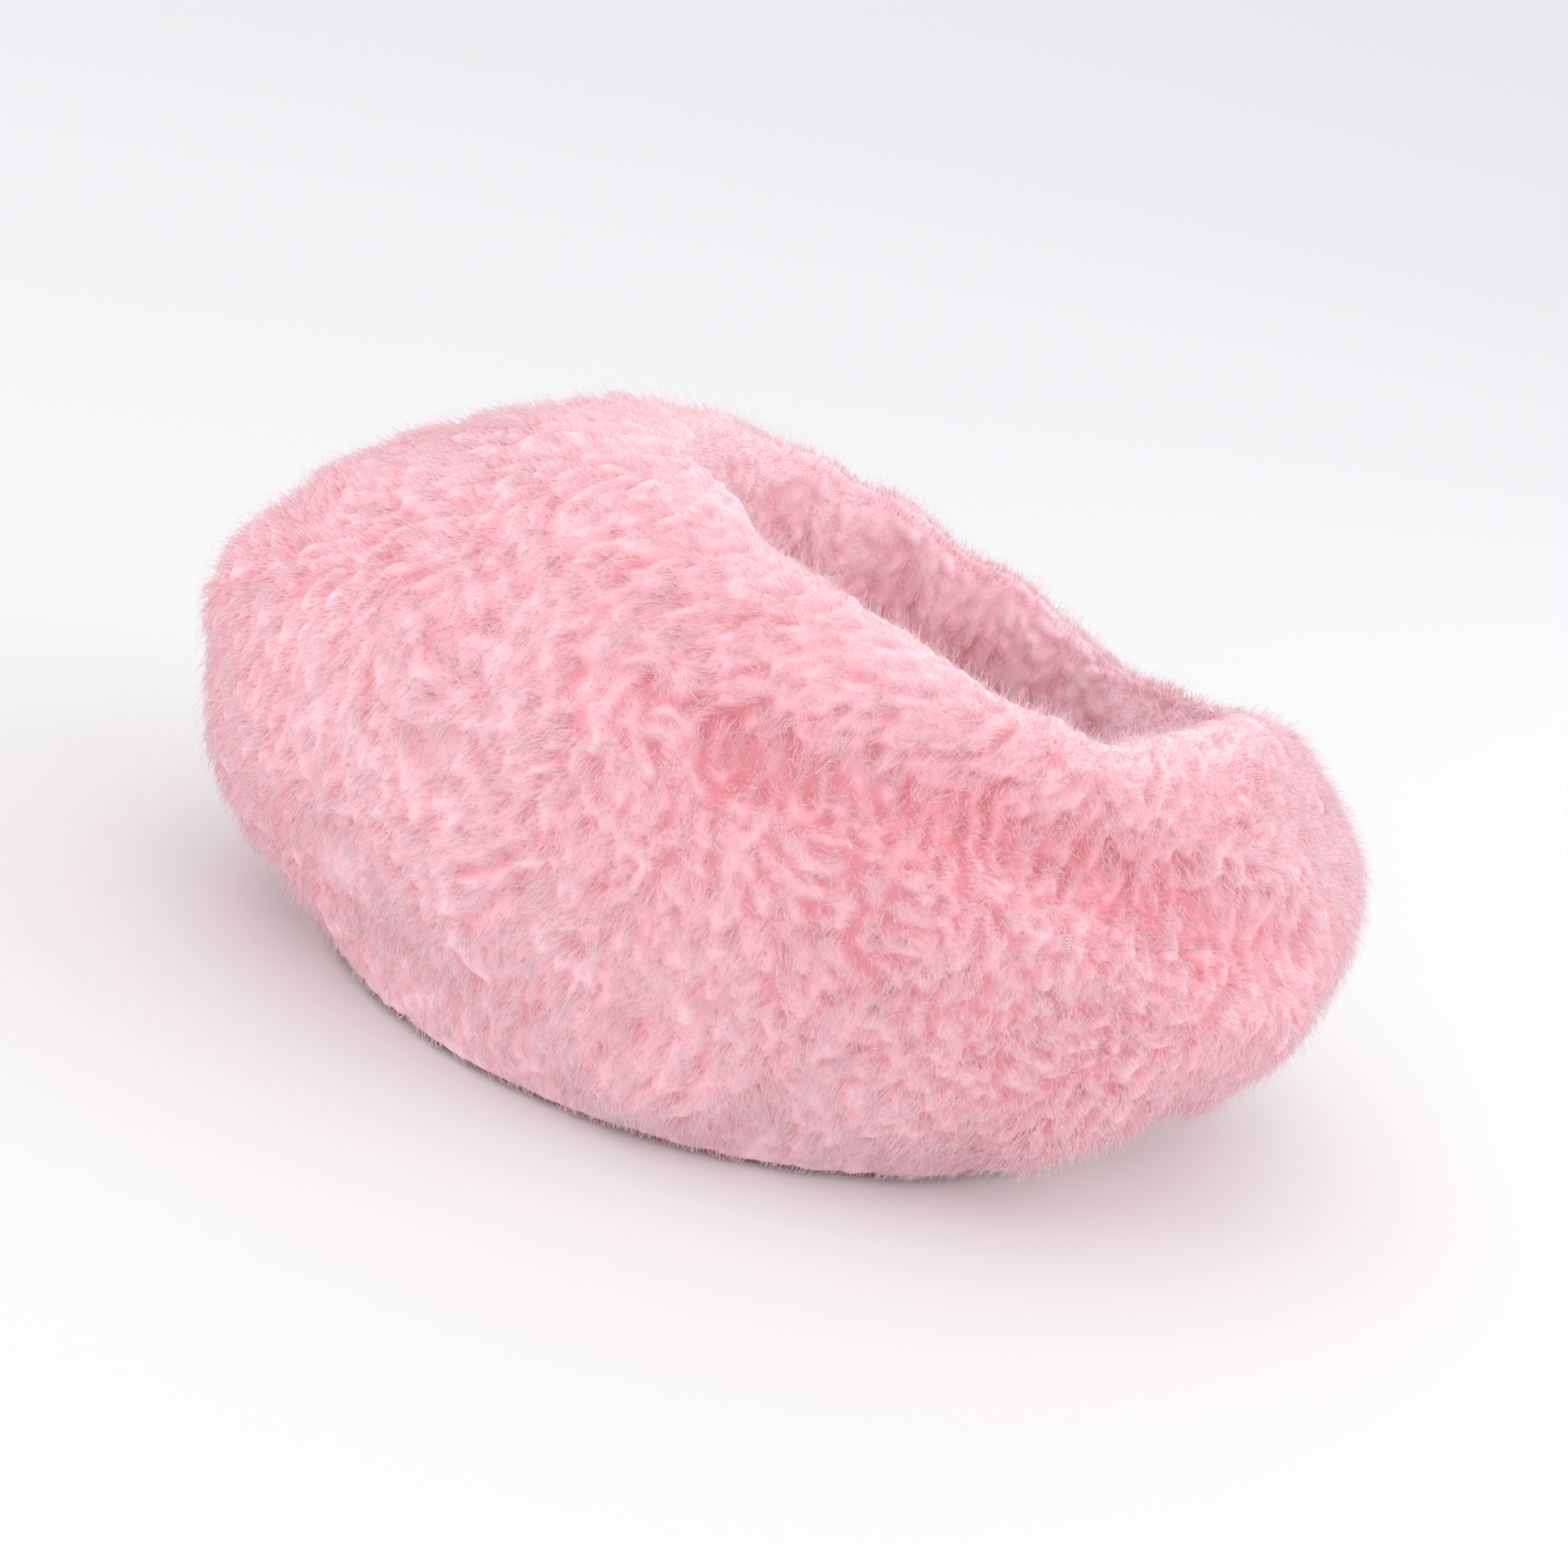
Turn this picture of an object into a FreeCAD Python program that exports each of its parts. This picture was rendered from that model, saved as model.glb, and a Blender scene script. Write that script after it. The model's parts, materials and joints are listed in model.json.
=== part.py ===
import FreeCAD, Part
import math
import os
import Sketcher
from FreeCAD import Vector

# Oval nest bed of dyed shearling. +X is the long way, +Y the rear, +Z up.
# The origin is at the middle of the footprint box, on the surface that the bed rests on.
# The rim is high and thick at the -X end and low at the +X end.

DIMENSIONS = {
    # outline of the stuffed body: half lengths (X), half widths (Y) and shifts along X
    "base_long": 151, "base_wide": 130, "base_shift": -6,
    "belly_long": 226, "belly_wide": 151, "belly_shift": 5.4, "belly_egg": 0.022,
    "crest_long": 115, "crest_wide": 92, "crest_shift": 49,
    "nest_long": 92, "nest_wide": 62,
    # heights
    "crest_mid": 188, "crest_tilt": 29, "crest_lean": 7, "crest_oval": 6, "crest_egg": 3,
    "entry_dip": 9, "entry_angle": 52, "entry_spread": 24,
    "floor_level": 45, "skin_start": 6.3,
    # layers, from the air inwards
    "pile": 16, "ply": 1.2, "fit_gap": 0.3, "stuffing_gap": 3.2,
    # foam under the nest floor: half sizes of its lower and upper outlines, and the lower one's shift
    "foam_low_long": 88, "foam_low_wide": 70, "foam_low_shift": 30,
    "foam_top_long": 98, "foam_top_wide": 70, "foam_top_level": 40, "foam_low_level": 10.2,
    "floor_thick": 4,
    # loose cushion
    "cushion_long": 84, "cushion_wide": 54, "cushion_thick": 38, "cushion_seam": 16,
    "cushion_pile": 10, "cushion_ply": 1.5, "piping_radius": 1.8,
    # base
    "base_cloth": 5, "binding_width": 3.5, "binding_proud": 0.3, "cloth_gap": 0.1,
    "pad_thick": 4, "pad_inset": 8, "pad_level": 6,
    # zip across the base
    "zip_offset": 42, "zip_long": 226, "slot_width": 19, "slot_end": 7, "tape_end": 6,
    "tape_thick": 0.5, "tape_level": 3.35,
    "tape_inner": 1.6, "tooth_tip": 0.6, "tooth_root": 3.6, "tooth_high": 1.2, "tooth_pitch": 4,
    "tooth_width": 2.2, "tooth_start": 0.2, "groove_play": 0.05, "stop_high": 1.6, "stop_long": 2,
    "slider_long": 11, "slider_wide": 9.2, "slider_place": 98,
    "slider_high": 4, "slider_wall": 0.6, "plate_thick": 0.8, "pin_radius": 0.3, "pin_play": 0.05,
    "pin_drop": 0.8, "pin_long": 4, "pin_inset": 3, "ear_long": 1.8, "ear_wide": 1, "ear_high": 1.5,
    "eye_front": 0.55, "eye_back": 2.4, "eye_wide": 2.2, "pull_long": 12, "pull_wide": 5,
    "pull_thick": 0.8, "pull_border": 1.3,
    # small trim
    "label_long": 30, "label_out": 20, "label_thick": 0.6, "label_side": 10, "label_inset": 5,
    "thread_radius": 0.5,
}

RING_POINTS = 32

doc = FreeCAD.newDocument("pet_bed")
sheet = doc.addObject("Spreadsheet::Sheet", "Sheet")
for row, (alias, number) in enumerate(DIMENSIONS.items(), start=1):
    sheet.set("A%d" % row, alias)
    sheet.set("B%d" % row, str(number))
    sheet.setAlias("B%d" % row, alias)
doc.recompute()

subparts = []


def dim(alias):
    return float(sheet.get(alias))


def bind(thing, **expressions):
    """Bind properties of an object to the sheet; a plain alias stands for its cell."""
    for prop, text in expressions.items():
        for alias in sorted(DIMENSIONS, key=len, reverse=True):
            text = text.replace("<%s>" % alias, "Sheet.%s" % alias)
        thing.setExpression(prop.replace("__", "."), text)


def keep(thing, label):
    thing.Label = label
    subparts.append(thing)
    return thing


def feature(label, shape):
    """A free-form solid; it reads its sizes from the sheet through dim()."""
    thing = doc.addObject("Part::Feature", label + "_shape")
    thing.Shape = shape
    thing.Placement = FreeCAD.Placement()
    return keep(thing, label)


# ---------------------------------------------------------------- free-form helpers
# A ring is a list of RING_POINTS points that go once round. A skin is a smooth surface over rings.

ROUND_KNOTS = [float(i) for i in range(RING_POINTS + 1)]
ROUND_MULTS = [1] * (RING_POINTS + 1)


def poles_through(ring):
    """Poles whose smooth periodic curve passes through the ring's points, to a few microns."""
    return [p - (ring[i - 1] + ring[(i + 1) % RING_POINTS] - p * 2) / 6 for i, p in enumerate(ring)]


def skin(rings):
    rings = [poles_through(r) for r in rings]
    degree = min(3, len(rings) - 1)
    spans = len(rings) - degree
    mults = [degree + 1] + [1] * (spans - 1) + [degree + 1]
    surface = Part.BSplineSurface()
    poles = [[r[i] for r in rings] for i in range(RING_POINTS)]
    surface.buildFromPolesMultsKnots(poles, ROUND_MULTS, mults, ROUND_KNOTS,
                                     [float(i) for i in range(spans + 1)], True, False, 3, degree)
    return [surface.toShape()]


def flat(level_ring):
    """Plane face inside a ring whose points share one height."""
    curve = Part.BSplineCurve()
    curve.buildFromPolesMultsKnots(poles_through(level_ring), ROUND_MULTS, ROUND_KNOTS, True, 3)
    return [Part.Face(Part.Wire([curve.toShape()]))]


def strip(first, last):
    return skin([first, last])


def closed_solid(faces):
    shell = Part.makeShell(faces)
    shell.sewShape()
    solid = Part.makeSolid(shell)
    if solid.Volume < 0:
        solid.reverse()
    return solid


def cord_rings(path, outwards, radius, sides):
    rings = []
    for turn in range(sides + 1):
        swing = 2 * math.pi * turn / sides
        rings.append([p + (out * math.cos(swing) + Vector(0, 0, math.sin(swing))) * radius
                      for p, out in zip(path, outwards)])
    return rings


def round_cord(path, outwards, radius):
    """Closed cord along a ring; outwards is a direction at each of its points."""
    rings = cord_rings(path, outwards, radius, 8)
    return closed_solid(skin(rings[:5]) + skin(rings[4:]))


def faceted_cord(path, outwards, radius):
    """Six-sided closed thread along a ring: flat sides keep the mesh of so thin a solid exact."""
    rings = cord_rings(path, outwards, radius, 6)
    faces = []
    for first, last in zip(rings, rings[1:]):
        faces += strip(first, last)
    return closed_solid(faces)


def ellipse_outwards(long_half, wide_half):
    outwards = [Vector(math.cos(a) / long_half, math.sin(a) / wide_half, 0) for a in angles()]
    return [out.normalize() for out in outwards]


def angles():
    return [2 * math.pi * i / RING_POINTS for i in range(RING_POINTS)]


def ellipse_point(angle, long_half, wide_half, shift, egg=0.0):
    swell = 1 - egg * math.cos(3 * angle)
    return Vector(shift + swell * long_half * math.cos(angle), swell * wide_half * math.sin(angle), 0)


def between(start, end, share):
    return start + (end - start) * share


# ---------------------------------------------------------------- the stuffed body's skin

def crest_height(angle):
    """Height of the rim's top line: high at -X, low at +X, with a shallow entry at the rear right."""
    off = math.degrees(angle) - dim("entry_angle")
    entry = dim("entry_dip") * math.exp(-(off / dim("entry_spread")) ** 2)
    tilt = dim("crest_tilt") * math.cos(angle) + dim("crest_lean") * math.sin(angle)
    oval = dim("crest_oval") * math.cos(2 * angle) + dim("crest_egg") * math.cos(3 * angle)
    return dim("crest_mid") - tilt + oval - entry


def section(angle):
    """Points of the skin at one angle, from the base edge over the rim down to the nest floor."""
    base = ellipse_point(angle, dim("base_long"), dim("base_wide"), dim("base_shift"))
    belly = ellipse_point(angle, dim("belly_long"), dim("belly_wide"), dim("belly_shift"), dim("belly_egg"))
    crest = ellipse_point(angle, dim("crest_long"), dim("crest_wide"), dim("crest_shift"))
    nest = ellipse_point(angle, dim("nest_long"), dim("nest_wide"), dim("crest_shift"))
    top = crest_height(angle)
    belly_high = 0.505 * top
    floor = dim("floor_level")

    def at(place, height):
        return Vector(place.x, place.y, height)

    return {
        "base": at(base, dim("skin_start")),
        "low": at(between(base, belly, 0.70), 0.31 * belly_high),
        "belly": at(belly, belly_high),
        "shoulder": at(between(crest, belly, 0.66), belly_high + 0.724 * (top - belly_high)),
        "crest": at(crest, top),
        "lip": at(between(nest, crest, 0.62), floor + 0.78 * (top - floor)),
        "wall": at(between(nest, crest, 0.20), floor + 0.25 * (top - floor)),
        "floor": at(nest, floor),
    }


sections = [section(a) for a in angles()]
LINES = list(sections[0])


def line_parameters():
    """One parameter for each named line of the section, spaced by the mean length between lines."""
    total = [0.0]
    for first, last in zip(LINES, LINES[1:]):
        mean = sum((s[last] - s[first]).Length for s in sections) / len(sections)
        total.append(total[-1] + mean)
    return [t / total[-1] for t in total]


PARAMETERS = line_parameters()


def section_curve(points):
    curve = Part.BSplineCurve()
    curve.interpolate(Points=[points[name] for name in LINES], Parameters=PARAMETERS)
    return curve


curves = [section_curve(s) for s in sections]


def level(name):
    """The skin's parameter at a named line of the section."""
    return PARAMETERS[LINES.index(name)]


def layer_ring(at_level, depth):
    """Ring that lies a depth below the skin, at one level of it."""
    points = [c.value(at_level) for c in curves]
    ring = []
    for i, curve in enumerate(curves):
        up = curve.getD1(at_level)[1]
        along = points[(i + 1) % RING_POINTS] - points[i - 1]
        ring.append(points[i] - along.cross(up).normalize() * depth)
    return ring


def layer(first, last, outer, inner, count=12):
    """Closed layer of the skin between two levels and two depths."""
    steps = [first + (last - first) * i / (count - 1) for i in range(count)]
    outside = [layer_ring(v, outer) for v in steps]
    inside = [layer_ring(v, inner) for v in steps]
    faces = skin(outside) + skin(inside)
    faces += strip(outside[0], inside[0]) + strip(outside[-1], inside[-1])
    return closed_solid(faces)


START = level("base")
OUTER_SEAM = level("belly") + 0.52 * (level("shoulder") - level("belly"))
INNER_SEAM = level("lip") + 0.45 * (level("wall") - level("lip"))
FLOOR = level("floor")
HAIR = 0.0022
DIVIDER = 0.0045

cloth_top = dim("pile") + dim("fit_gap")
cloth_back = cloth_top + dim("ply")
stuffing_top = cloth_back + dim("stuffing_gap")

feature("wall_cover", layer(START, OUTER_SEAM - HAIR, 0, dim("pile")))
feature("rim_cover", layer(OUTER_SEAM + HAIR, INNER_SEAM - HAIR, 0, dim("pile"), 20))
feature("nest_lining", layer(INNER_SEAM + HAIR, FLOOR, 0, dim("pile")))
feature("wall_casing", layer(START, OUTER_SEAM - HAIR, cloth_top, cloth_back))
feature("rim_casing", layer(OUTER_SEAM + HAIR, INNER_SEAM - HAIR, cloth_top, cloth_back, 20))
feature("lining_backing", layer(INNER_SEAM + HAIR, FLOOR, cloth_top, cloth_back))


def divider():
    """Cloth wall between the stuffing of the rim and that of the lower wall."""
    upper = [layer_ring(OUTER_SEAM + HAIR, stuffing_top), layer_ring(INNER_SEAM - HAIR, stuffing_top)]
    lower = [layer_ring(OUTER_SEAM - HAIR, stuffing_top), layer_ring(INNER_SEAM + HAIR, stuffing_top)]
    faces = strip(*upper) + strip(*lower)
    faces += strip(upper[0], lower[0]) + strip(upper[1], lower[1])
    return closed_solid(faces)


def rim_stuffing():
    first = OUTER_SEAM + DIVIDER
    last = INNER_SEAM - DIVIDER
    rings = [layer_ring(first + (last - first) * i / 18, stuffing_top) for i in range(19)]
    return closed_solid(skin(rings) + strip(rings[0], rings[-1]))


def foam_ring(which, grow=0.0):
    """Outline of the foam's lower or upper face, grown by a gap."""
    shift = dim("foam_low_shift") if which == "low" else dim("crest_shift")
    long_half = dim("foam_%s_long" % which) + grow
    wide_half = dim("foam_%s_wide" % which) + grow
    height = Vector(0, 0, dim("foam_%s_level" % which))
    return [ellipse_point(a, long_half, wide_half, shift) + height for a in angles()]


def wall_stuffing():
    """Ring of stuffing under the divider, round the foam."""
    outer_end = OUTER_SEAM - DIVIDER
    inner_start = INNER_SEAM + DIVIDER
    outer = [layer_ring(START + (outer_end - START) * i / 8, stuffing_top) for i in range(9)]
    inner = [layer_ring(inner_start + (FLOOR - inner_start) * i / 6, stuffing_top) for i in range(7)]
    foot = foam_ring("low", dim("stuffing_gap"))
    faces = skin(outer) + strip(outer[-1], inner[0]) + skin(inner)
    faces += strip(inner[-1], foot) + strip(foot, outer[0])
    return closed_solid(faces)


feature("chamber_divider", divider())
feature("rim_filling", rim_stuffing())
feature("wall_filling", wall_stuffing())
feature("base_foam", closed_solid(strip(foam_ring("low"), foam_ring("top"))
                                  + flat(foam_ring("low")) + flat(foam_ring("top"))))

seam_line = layer_ring(OUTER_SEAM, 0)
seam_path = layer_ring(OUTER_SEAM, -2 * dim("thread_radius"))
seam_away = [(p - q).normalize() for p, q in zip(seam_path, seam_line)]
feature("rim_seam_thread", faceted_cord(seam_path, seam_away, dim("thread_radius")))


# ---------------------------------------------------------------- parametric helpers

def origin_plane(body, role):
    return next(f for f in body.Origin.OriginFeatures if f.Role == role)


def new_body(label):
    body = doc.addObject("PartDesign::Body", label + "_body")
    return keep(body, label)


def new_sketch(body, name, role="XY_Plane"):
    sketch = body.newObject("Sketcher::SketchObject", name)
    sketch.AttachmentSupport = [(origin_plane(body, role), "")]
    sketch.MapMode = "FlatFace"
    return sketch


def add_ellipse(sketch, long_half, wide_half):
    """Ellipse on the sketch's origin, its half sizes bound to two expressions."""
    start_long, start_wide = 100.0, 60.0
    index = sketch.addGeometry(Part.Ellipse(Vector(), start_long, start_wide), False)
    sketch.exposeInternalGeometry(index)
    major, minor = index + 1, index + 2
    sketch.addConstraint(Sketcher.Constraint("Coincident", index, 3, -1, 1))
    sketch.addConstraint(Sketcher.Constraint("Horizontal", major))
    for line, size, text in ((major, 2 * start_long, long_half), (minor, 2 * start_wide, wide_half)):
        number = sketch.addConstraint(Sketcher.Constraint("Distance", line, size))
        bind(sketch, **{"Constraints[%d]" % number: "2 * (%s)" % text})


def add_rectangle(sketch, low_x, low_y, wide, high):
    """Rectangle whose low corner and sides are bound to four expressions."""
    corners = [Vector(1, 1, 0), Vector(3, 1, 0), Vector(3, 2, 0), Vector(1, 2, 0)]
    first = sketch.GeometryCount
    for i in range(4):
        sketch.addGeometry(Part.LineSegment(corners[i], corners[(i + 1) % 4]), False)
    for i in range(4):
        sketch.addConstraint(Sketcher.Constraint("Coincident", first + i, 2, first + (i + 1) % 4, 1))
    for i, kind in enumerate(("Horizontal", "Vertical", "Horizontal", "Vertical")):
        sketch.addConstraint(Sketcher.Constraint(kind, first + i))
    for kind, text in (("DistanceX", low_x), ("DistanceY", low_y)):
        number = sketch.addConstraint(Sketcher.Constraint(kind, -1, 1, first, 1, 1.0))
        bind(sketch, **{"Constraints[%d]" % number: text})
    for kind, edge, size, text in (("DistanceX", 0, 2.0, wide), ("DistanceY", 1, 1.0, high)):
        number = sketch.addConstraint(Sketcher.Constraint(kind, first + edge, 1, first + edge, 2, size))
        bind(sketch, **{"Constraints[%d]" % number: text})


def pad(body, sketch, name, length, midplane=False):
    thing = body.newObject("PartDesign::Pad", name)
    thing.Profile = sketch
    thing.Midplane = midplane
    bind(thing, Length=length)
    sketch.Visibility = False
    body.Tip = thing
    return thing


def ellipse_body(label, long_half, wide_half, thick, level_z, shift_x, inner=None):
    """Flat oval piece; inner gives the half sizes of an oval hole in it."""
    body = new_body(label)
    sketch = new_sketch(body, label + "_outline")
    add_ellipse(sketch, long_half, wide_half)
    if inner:
        add_ellipse(sketch, *inner)
    pad(body, sketch, label + "_pad", thick)
    bind(body, Placement__Base__z=level_z, Placement__Base__x=shift_x)
    return body


def box(name, wide, deep, high, x, y, z):
    thing = doc.addObject("Part::Box", name)
    bind(thing, Length=wide, Width=deep, Height=high,
         Placement__Base__x=x, Placement__Base__y=y, Placement__Base__z=z)
    return thing


def combine(kind, name, *tools):
    thing = doc.addObject(kind, name)
    if kind == "Part::MultiFuse":
        thing.Shapes = list(tools)
    else:
        thing.Base, thing.Tool = tools
    return thing


# ---------------------------------------------------------------- base

ellipse_body("nest_floor", "<nest_long> - <fit_gap>", "<nest_wide> - <fit_gap>", "<floor_thick>",
             "<floor_level> - <floor_thick>", "<crest_shift>")
ellipse_body("base_pad", "<base_long> - <pad_inset>", "<base_wide> - <pad_inset>", "<pad_thick>",
             "<pad_level>", "<base_shift>")
ellipse_body("base_binding", "<base_long>", "<base_wide>", "<base_cloth> + <binding_proud>", "0",
             "<base_shift>",
             ("<base_long> - <binding_width>", "<base_wide> - <binding_width>"))


def base_disc(name):
    body = doc.addObject("PartDesign::Body", name)
    sketch = new_sketch(body, name + "_outline")
    add_ellipse(sketch, "<base_long> - <binding_width> - <cloth_gap>",
                "<base_wide> - <binding_width> - <cloth_gap>")
    pad(body, sketch, name + "_pad", "<base_cloth>")
    bind(body, Placement__Base__x="<base_shift>")
    return body


def base_half(label, side):
    """One half of the base cloth, with its half of the slot that the zip lies in."""
    low = "<zip_offset> + <cloth_gap>"
    if side < 0:
        low = "<zip_offset> - <cloth_gap> - 2 * <base_wide>"
    region = box(label + "_region", "2 * <base_long>", "2 * <base_wide>", "<base_cloth>",
                 "<base_shift> - <base_long>", low, "0")
    slot = box(label + "_slot", "<zip_long> + 2 * <slot_end>", "<slot_width>", "3 * <base_cloth>",
               "-<zip_long> / 2 - <slot_end>", "<zip_offset> - <slot_width> / 2", "-<base_cloth>")
    half = combine("Part::Common", label + "_half", base_disc(label + "_disc"), region)
    keep(combine("Part::Cut", label + "_cut", half, slot), label)


base_half("base_panel_front", -1)
base_half("base_panel_rear", 1)


def base_thread():
    off = dim("thread_radius") + 2 * dim("fit_gap")
    long_half, wide_half = dim("base_long") + off, dim("base_wide") + off
    path = [ellipse_point(a, long_half, wide_half, dim("base_shift")) + Vector(0, 0, dim("base_cloth") - 1)
            for a in angles()]
    return faceted_cord(path, ellipse_outwards(long_half, wide_half), dim("thread_radius"))


feature("base_seam_thread", base_thread())

label_body = box("care_label_box", "<label_long>", "<label_out>", "<label_thick>",
                 "-<label_long> - <label_side>", "<base_wide> - <label_inset>",
                 "<base_cloth> + <binding_proud> + <groove_play>")
keep(label_body, "care_label")


# ---------------------------------------------------------------- zip

TOOTH_MIDDLE = "<tape_level> + <tape_thick> / 2"
ZIP_START = "-<zip_long> / 2"


def zip_side(label, side):
    """Tape and teeth of one side of the zip; side is -1 for the front and 1 for the rear."""
    tape_low = "<zip_offset> + <tape_inner>"
    tooth_low = "<zip_offset> + <tooth_tip>"
    bead_low = tape_low
    groove_low = "<zip_offset> + <tape_inner> - 2 * <groove_play>"
    lag = "0"
    if side < 0:
        tape_low = "<zip_offset> - <slot_width> / 2 + <cloth_gap>"
        tooth_low = bead_low = "<zip_offset> - <tooth_root>"
        groove_low = "<zip_offset> - <tooth_root> - <tape_inner>"
        lag = "<tooth_pitch> / 2"
    tape = box("zip_tape_%s_box" % label, "<zip_long> + 2 * <tape_end>",
               "<slot_width> / 2 - <cloth_gap> - <tape_inner>", "<tape_thick>",
               "-<zip_long> / 2 - <tape_end>", tape_low, "<tape_level>")
    keep(tape, "zip_tape_" + label)
    body = new_body("zip_teeth_" + label)
    bead = new_sketch(body, "bead_%s" % label)
    add_rectangle(bead, ZIP_START, bead_low, "<zip_long>", "<tooth_root> - <tape_inner>")
    pad(body, bead, "bead_pad_%s" % label, "<tooth_high>")
    tooth = new_sketch(body, "tooth_%s" % label)
    add_rectangle(tooth, "%s + <tooth_start> - <zip_long> / 2" % lag, tooth_low, "<tooth_width>",
                  "<tooth_root> - <tooth_tip>")
    one = pad(body, tooth, "tooth_pad_%s" % label, "<tooth_high>")
    row_of = body.newObject("PartDesign::LinearPattern", "teeth_%s" % label)
    row_of.Originals = [one]
    row_of.Direction = (origin_plane(body, "X_Axis"), [""])
    bind(row_of, Length="<tooth_pitch> * (floor(<zip_long> / <tooth_pitch>) - 1)",
         Occurrences="floor(<zip_long> / <tooth_pitch>)")
    body.Tip = row_of
    groove = new_sketch(body, "groove_%s" % label, "YZ_Plane")
    add_rectangle(groove, groove_low, "(<tooth_high> - <tape_thick>) / 2 - <groove_play>",
                  "<tooth_root>", "<tape_thick> + 2 * <groove_play>")
    cut = body.newObject("PartDesign::Pocket", "groove_cut_%s" % label)
    cut.Profile = groove
    cut.Midplane = True
    bind(cut, Length="<zip_long> * 2")
    body.Tip = cut
    bind(body, Placement__Base__z=TOOTH_MIDDLE + " - <tooth_high> / 2")
    doc.recompute()


zip_side("front", -1)
zip_side("rear", 1)


def zip_stop(label, place):
    """Block clamped over both tapes, past the last tooth."""
    block = box(label + "_block", "<stop_long>", "2 * <tooth_root>", "<stop_high>", place,
                "<zip_offset> - <tooth_root>", TOOTH_MIDDLE + " - <stop_high> / 2")
    gaps = {"front": "<zip_offset> - <tooth_root> - <tape_inner> + <groove_play>",
            "rear": "<zip_offset> + <tape_inner> - <groove_play>"}
    for side, low in gaps.items():
        gap = box("%s_gap_%s" % (label, side), "2 * <stop_long>", "<tooth_root>",
                  "<tape_thick> + 2 * <groove_play>", place + " - <stop_long> / 2", low,
                  "<tape_level> - <groove_play>")
        block = combine("Part::Cut", "%s_cut_%s" % (label, side), block, gap)
    keep(block, label)


zip_stop("zip_stop_open", "-<zip_long> / 2 - 3 * <stop_long> / 2")
zip_stop("zip_stop_closed", "<zip_long> / 2 + <stop_long> / 2")

SLIDER_LOW = TOOTH_MIDDLE + " - <slider_high> / 2"
PIN_LEVEL = SLIDER_LOW + " - <pin_drop>"
PIN_PLACE = "<slider_place> + <pin_inset>"


def cross_pin(name, radius):
    """Cylinder along Y through the slider's ears."""
    pin = doc.addObject("Part::Cylinder", name)
    pin.Placement = FreeCAD.Placement(Vector(), FreeCAD.Rotation(Vector(1, 0, 0), -90))
    bind(pin, Radius=radius, Height="<pin_long>", Placement__Base__x=PIN_PLACE,
         Placement__Base__y="<zip_offset> - <pin_long> / 2", Placement__Base__z=PIN_LEVEL)
    return pin


def slider():
    """Two plates on side flanges, a post between the rows, and two ears that hold the pull's pin."""
    x = "<slider_place>"
    low_y = "<zip_offset> - <slider_wide> / 2"
    wall_y = "<zip_offset> + <slider_wide> / 2 - <slider_wall>"
    post_wide = "2 * <tooth_tip> - 0.5"
    pieces = [
        box("slider_lower", "<slider_long>", "<slider_wide>", "<plate_thick>", x, low_y, SLIDER_LOW),
        box("slider_upper", "<slider_long>", "<slider_wide>", "<plate_thick>", x, low_y,
            SLIDER_LOW + " + <slider_high> - <plate_thick>"),
        box("slider_post", "2 * <plate_thick>", post_wide, "<slider_high> - <plate_thick>",
            x + " + <slider_long> - 2 * <plate_thick>", "<zip_offset> - (%s) / 2" % post_wide,
            SLIDER_LOW + " + <plate_thick> / 2"),
    ]
    for side, y in (("front", low_y), ("rear", wall_y)):
        for place, z in (("lower", SLIDER_LOW + " + <plate_thick> / 2"),
                         ("upper", SLIDER_LOW + " + <slider_high> - <plate_thick> - <slider_wall>")):
            pieces.append(box("slider_flange_%s_%s" % (side, place), "<slider_long>", "<slider_wall>",
                              "<slider_wall> + <plate_thick> / 2", x, y, z))
    ear_gap = "(<eye_wide> / 2 + 0.2)"
    ears = {"front": "<zip_offset> - <ear_wide> - " + ear_gap, "rear": "<zip_offset> + " + ear_gap}
    for side, y in ears.items():
        pieces.append(box("slider_ear_" + side, "<ear_long>", "<ear_wide>", "<ear_high>",
                          PIN_PLACE + " - <ear_long> / 2", y, PIN_LEVEL + " - 2 * <pin_radius>"))
    pieces.append(cross_pin("slider_pin", "<pin_radius>"))
    keep(combine("Part::MultiFuse", "slider_fuse", *pieces), "zip_slider")


def pull():
    """Flat tab that lies along the closed teeth; its narrow eye turns on the slider's pin."""
    low_z = PIN_LEVEL + " - <pull_thick> / 2"
    low_x = PIN_PLACE + " - <pull_long>"
    eye = box("pull_eye", "<eye_back> + <eye_front>", "<eye_wide>", "<pull_thick>",
              PIN_PLACE + " - <eye_back>", "<zip_offset> - <eye_wide> / 2", low_z)
    tab = box("pull_tab", "<pull_long> - <eye_back>", "<pull_wide>", "<pull_thick>", low_x,
              "<zip_offset> - <pull_wide> / 2", low_z)
    hole = cross_pin("pull_hole", "<pin_radius> + <pin_play>")
    window = box("pull_window", "<pull_long> / 2 - <pull_border>", "<pull_wide> - 2 * <pull_border>",
                 "3 * <pull_thick>", low_x + " + <pull_border>",
                 "<zip_offset> - <pull_wide> / 2 + <pull_border>", low_z + " - <pull_thick>")
    body = combine("Part::MultiFuse", "pull_blank", eye, tab)
    bored = combine("Part::Cut", "pull_bored", body, hole)
    keep(combine("Part::Cut", "pull_windowed", bored, window), "zip_pull")


slider()
pull()


# ---------------------------------------------------------------- loose cushion

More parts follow.
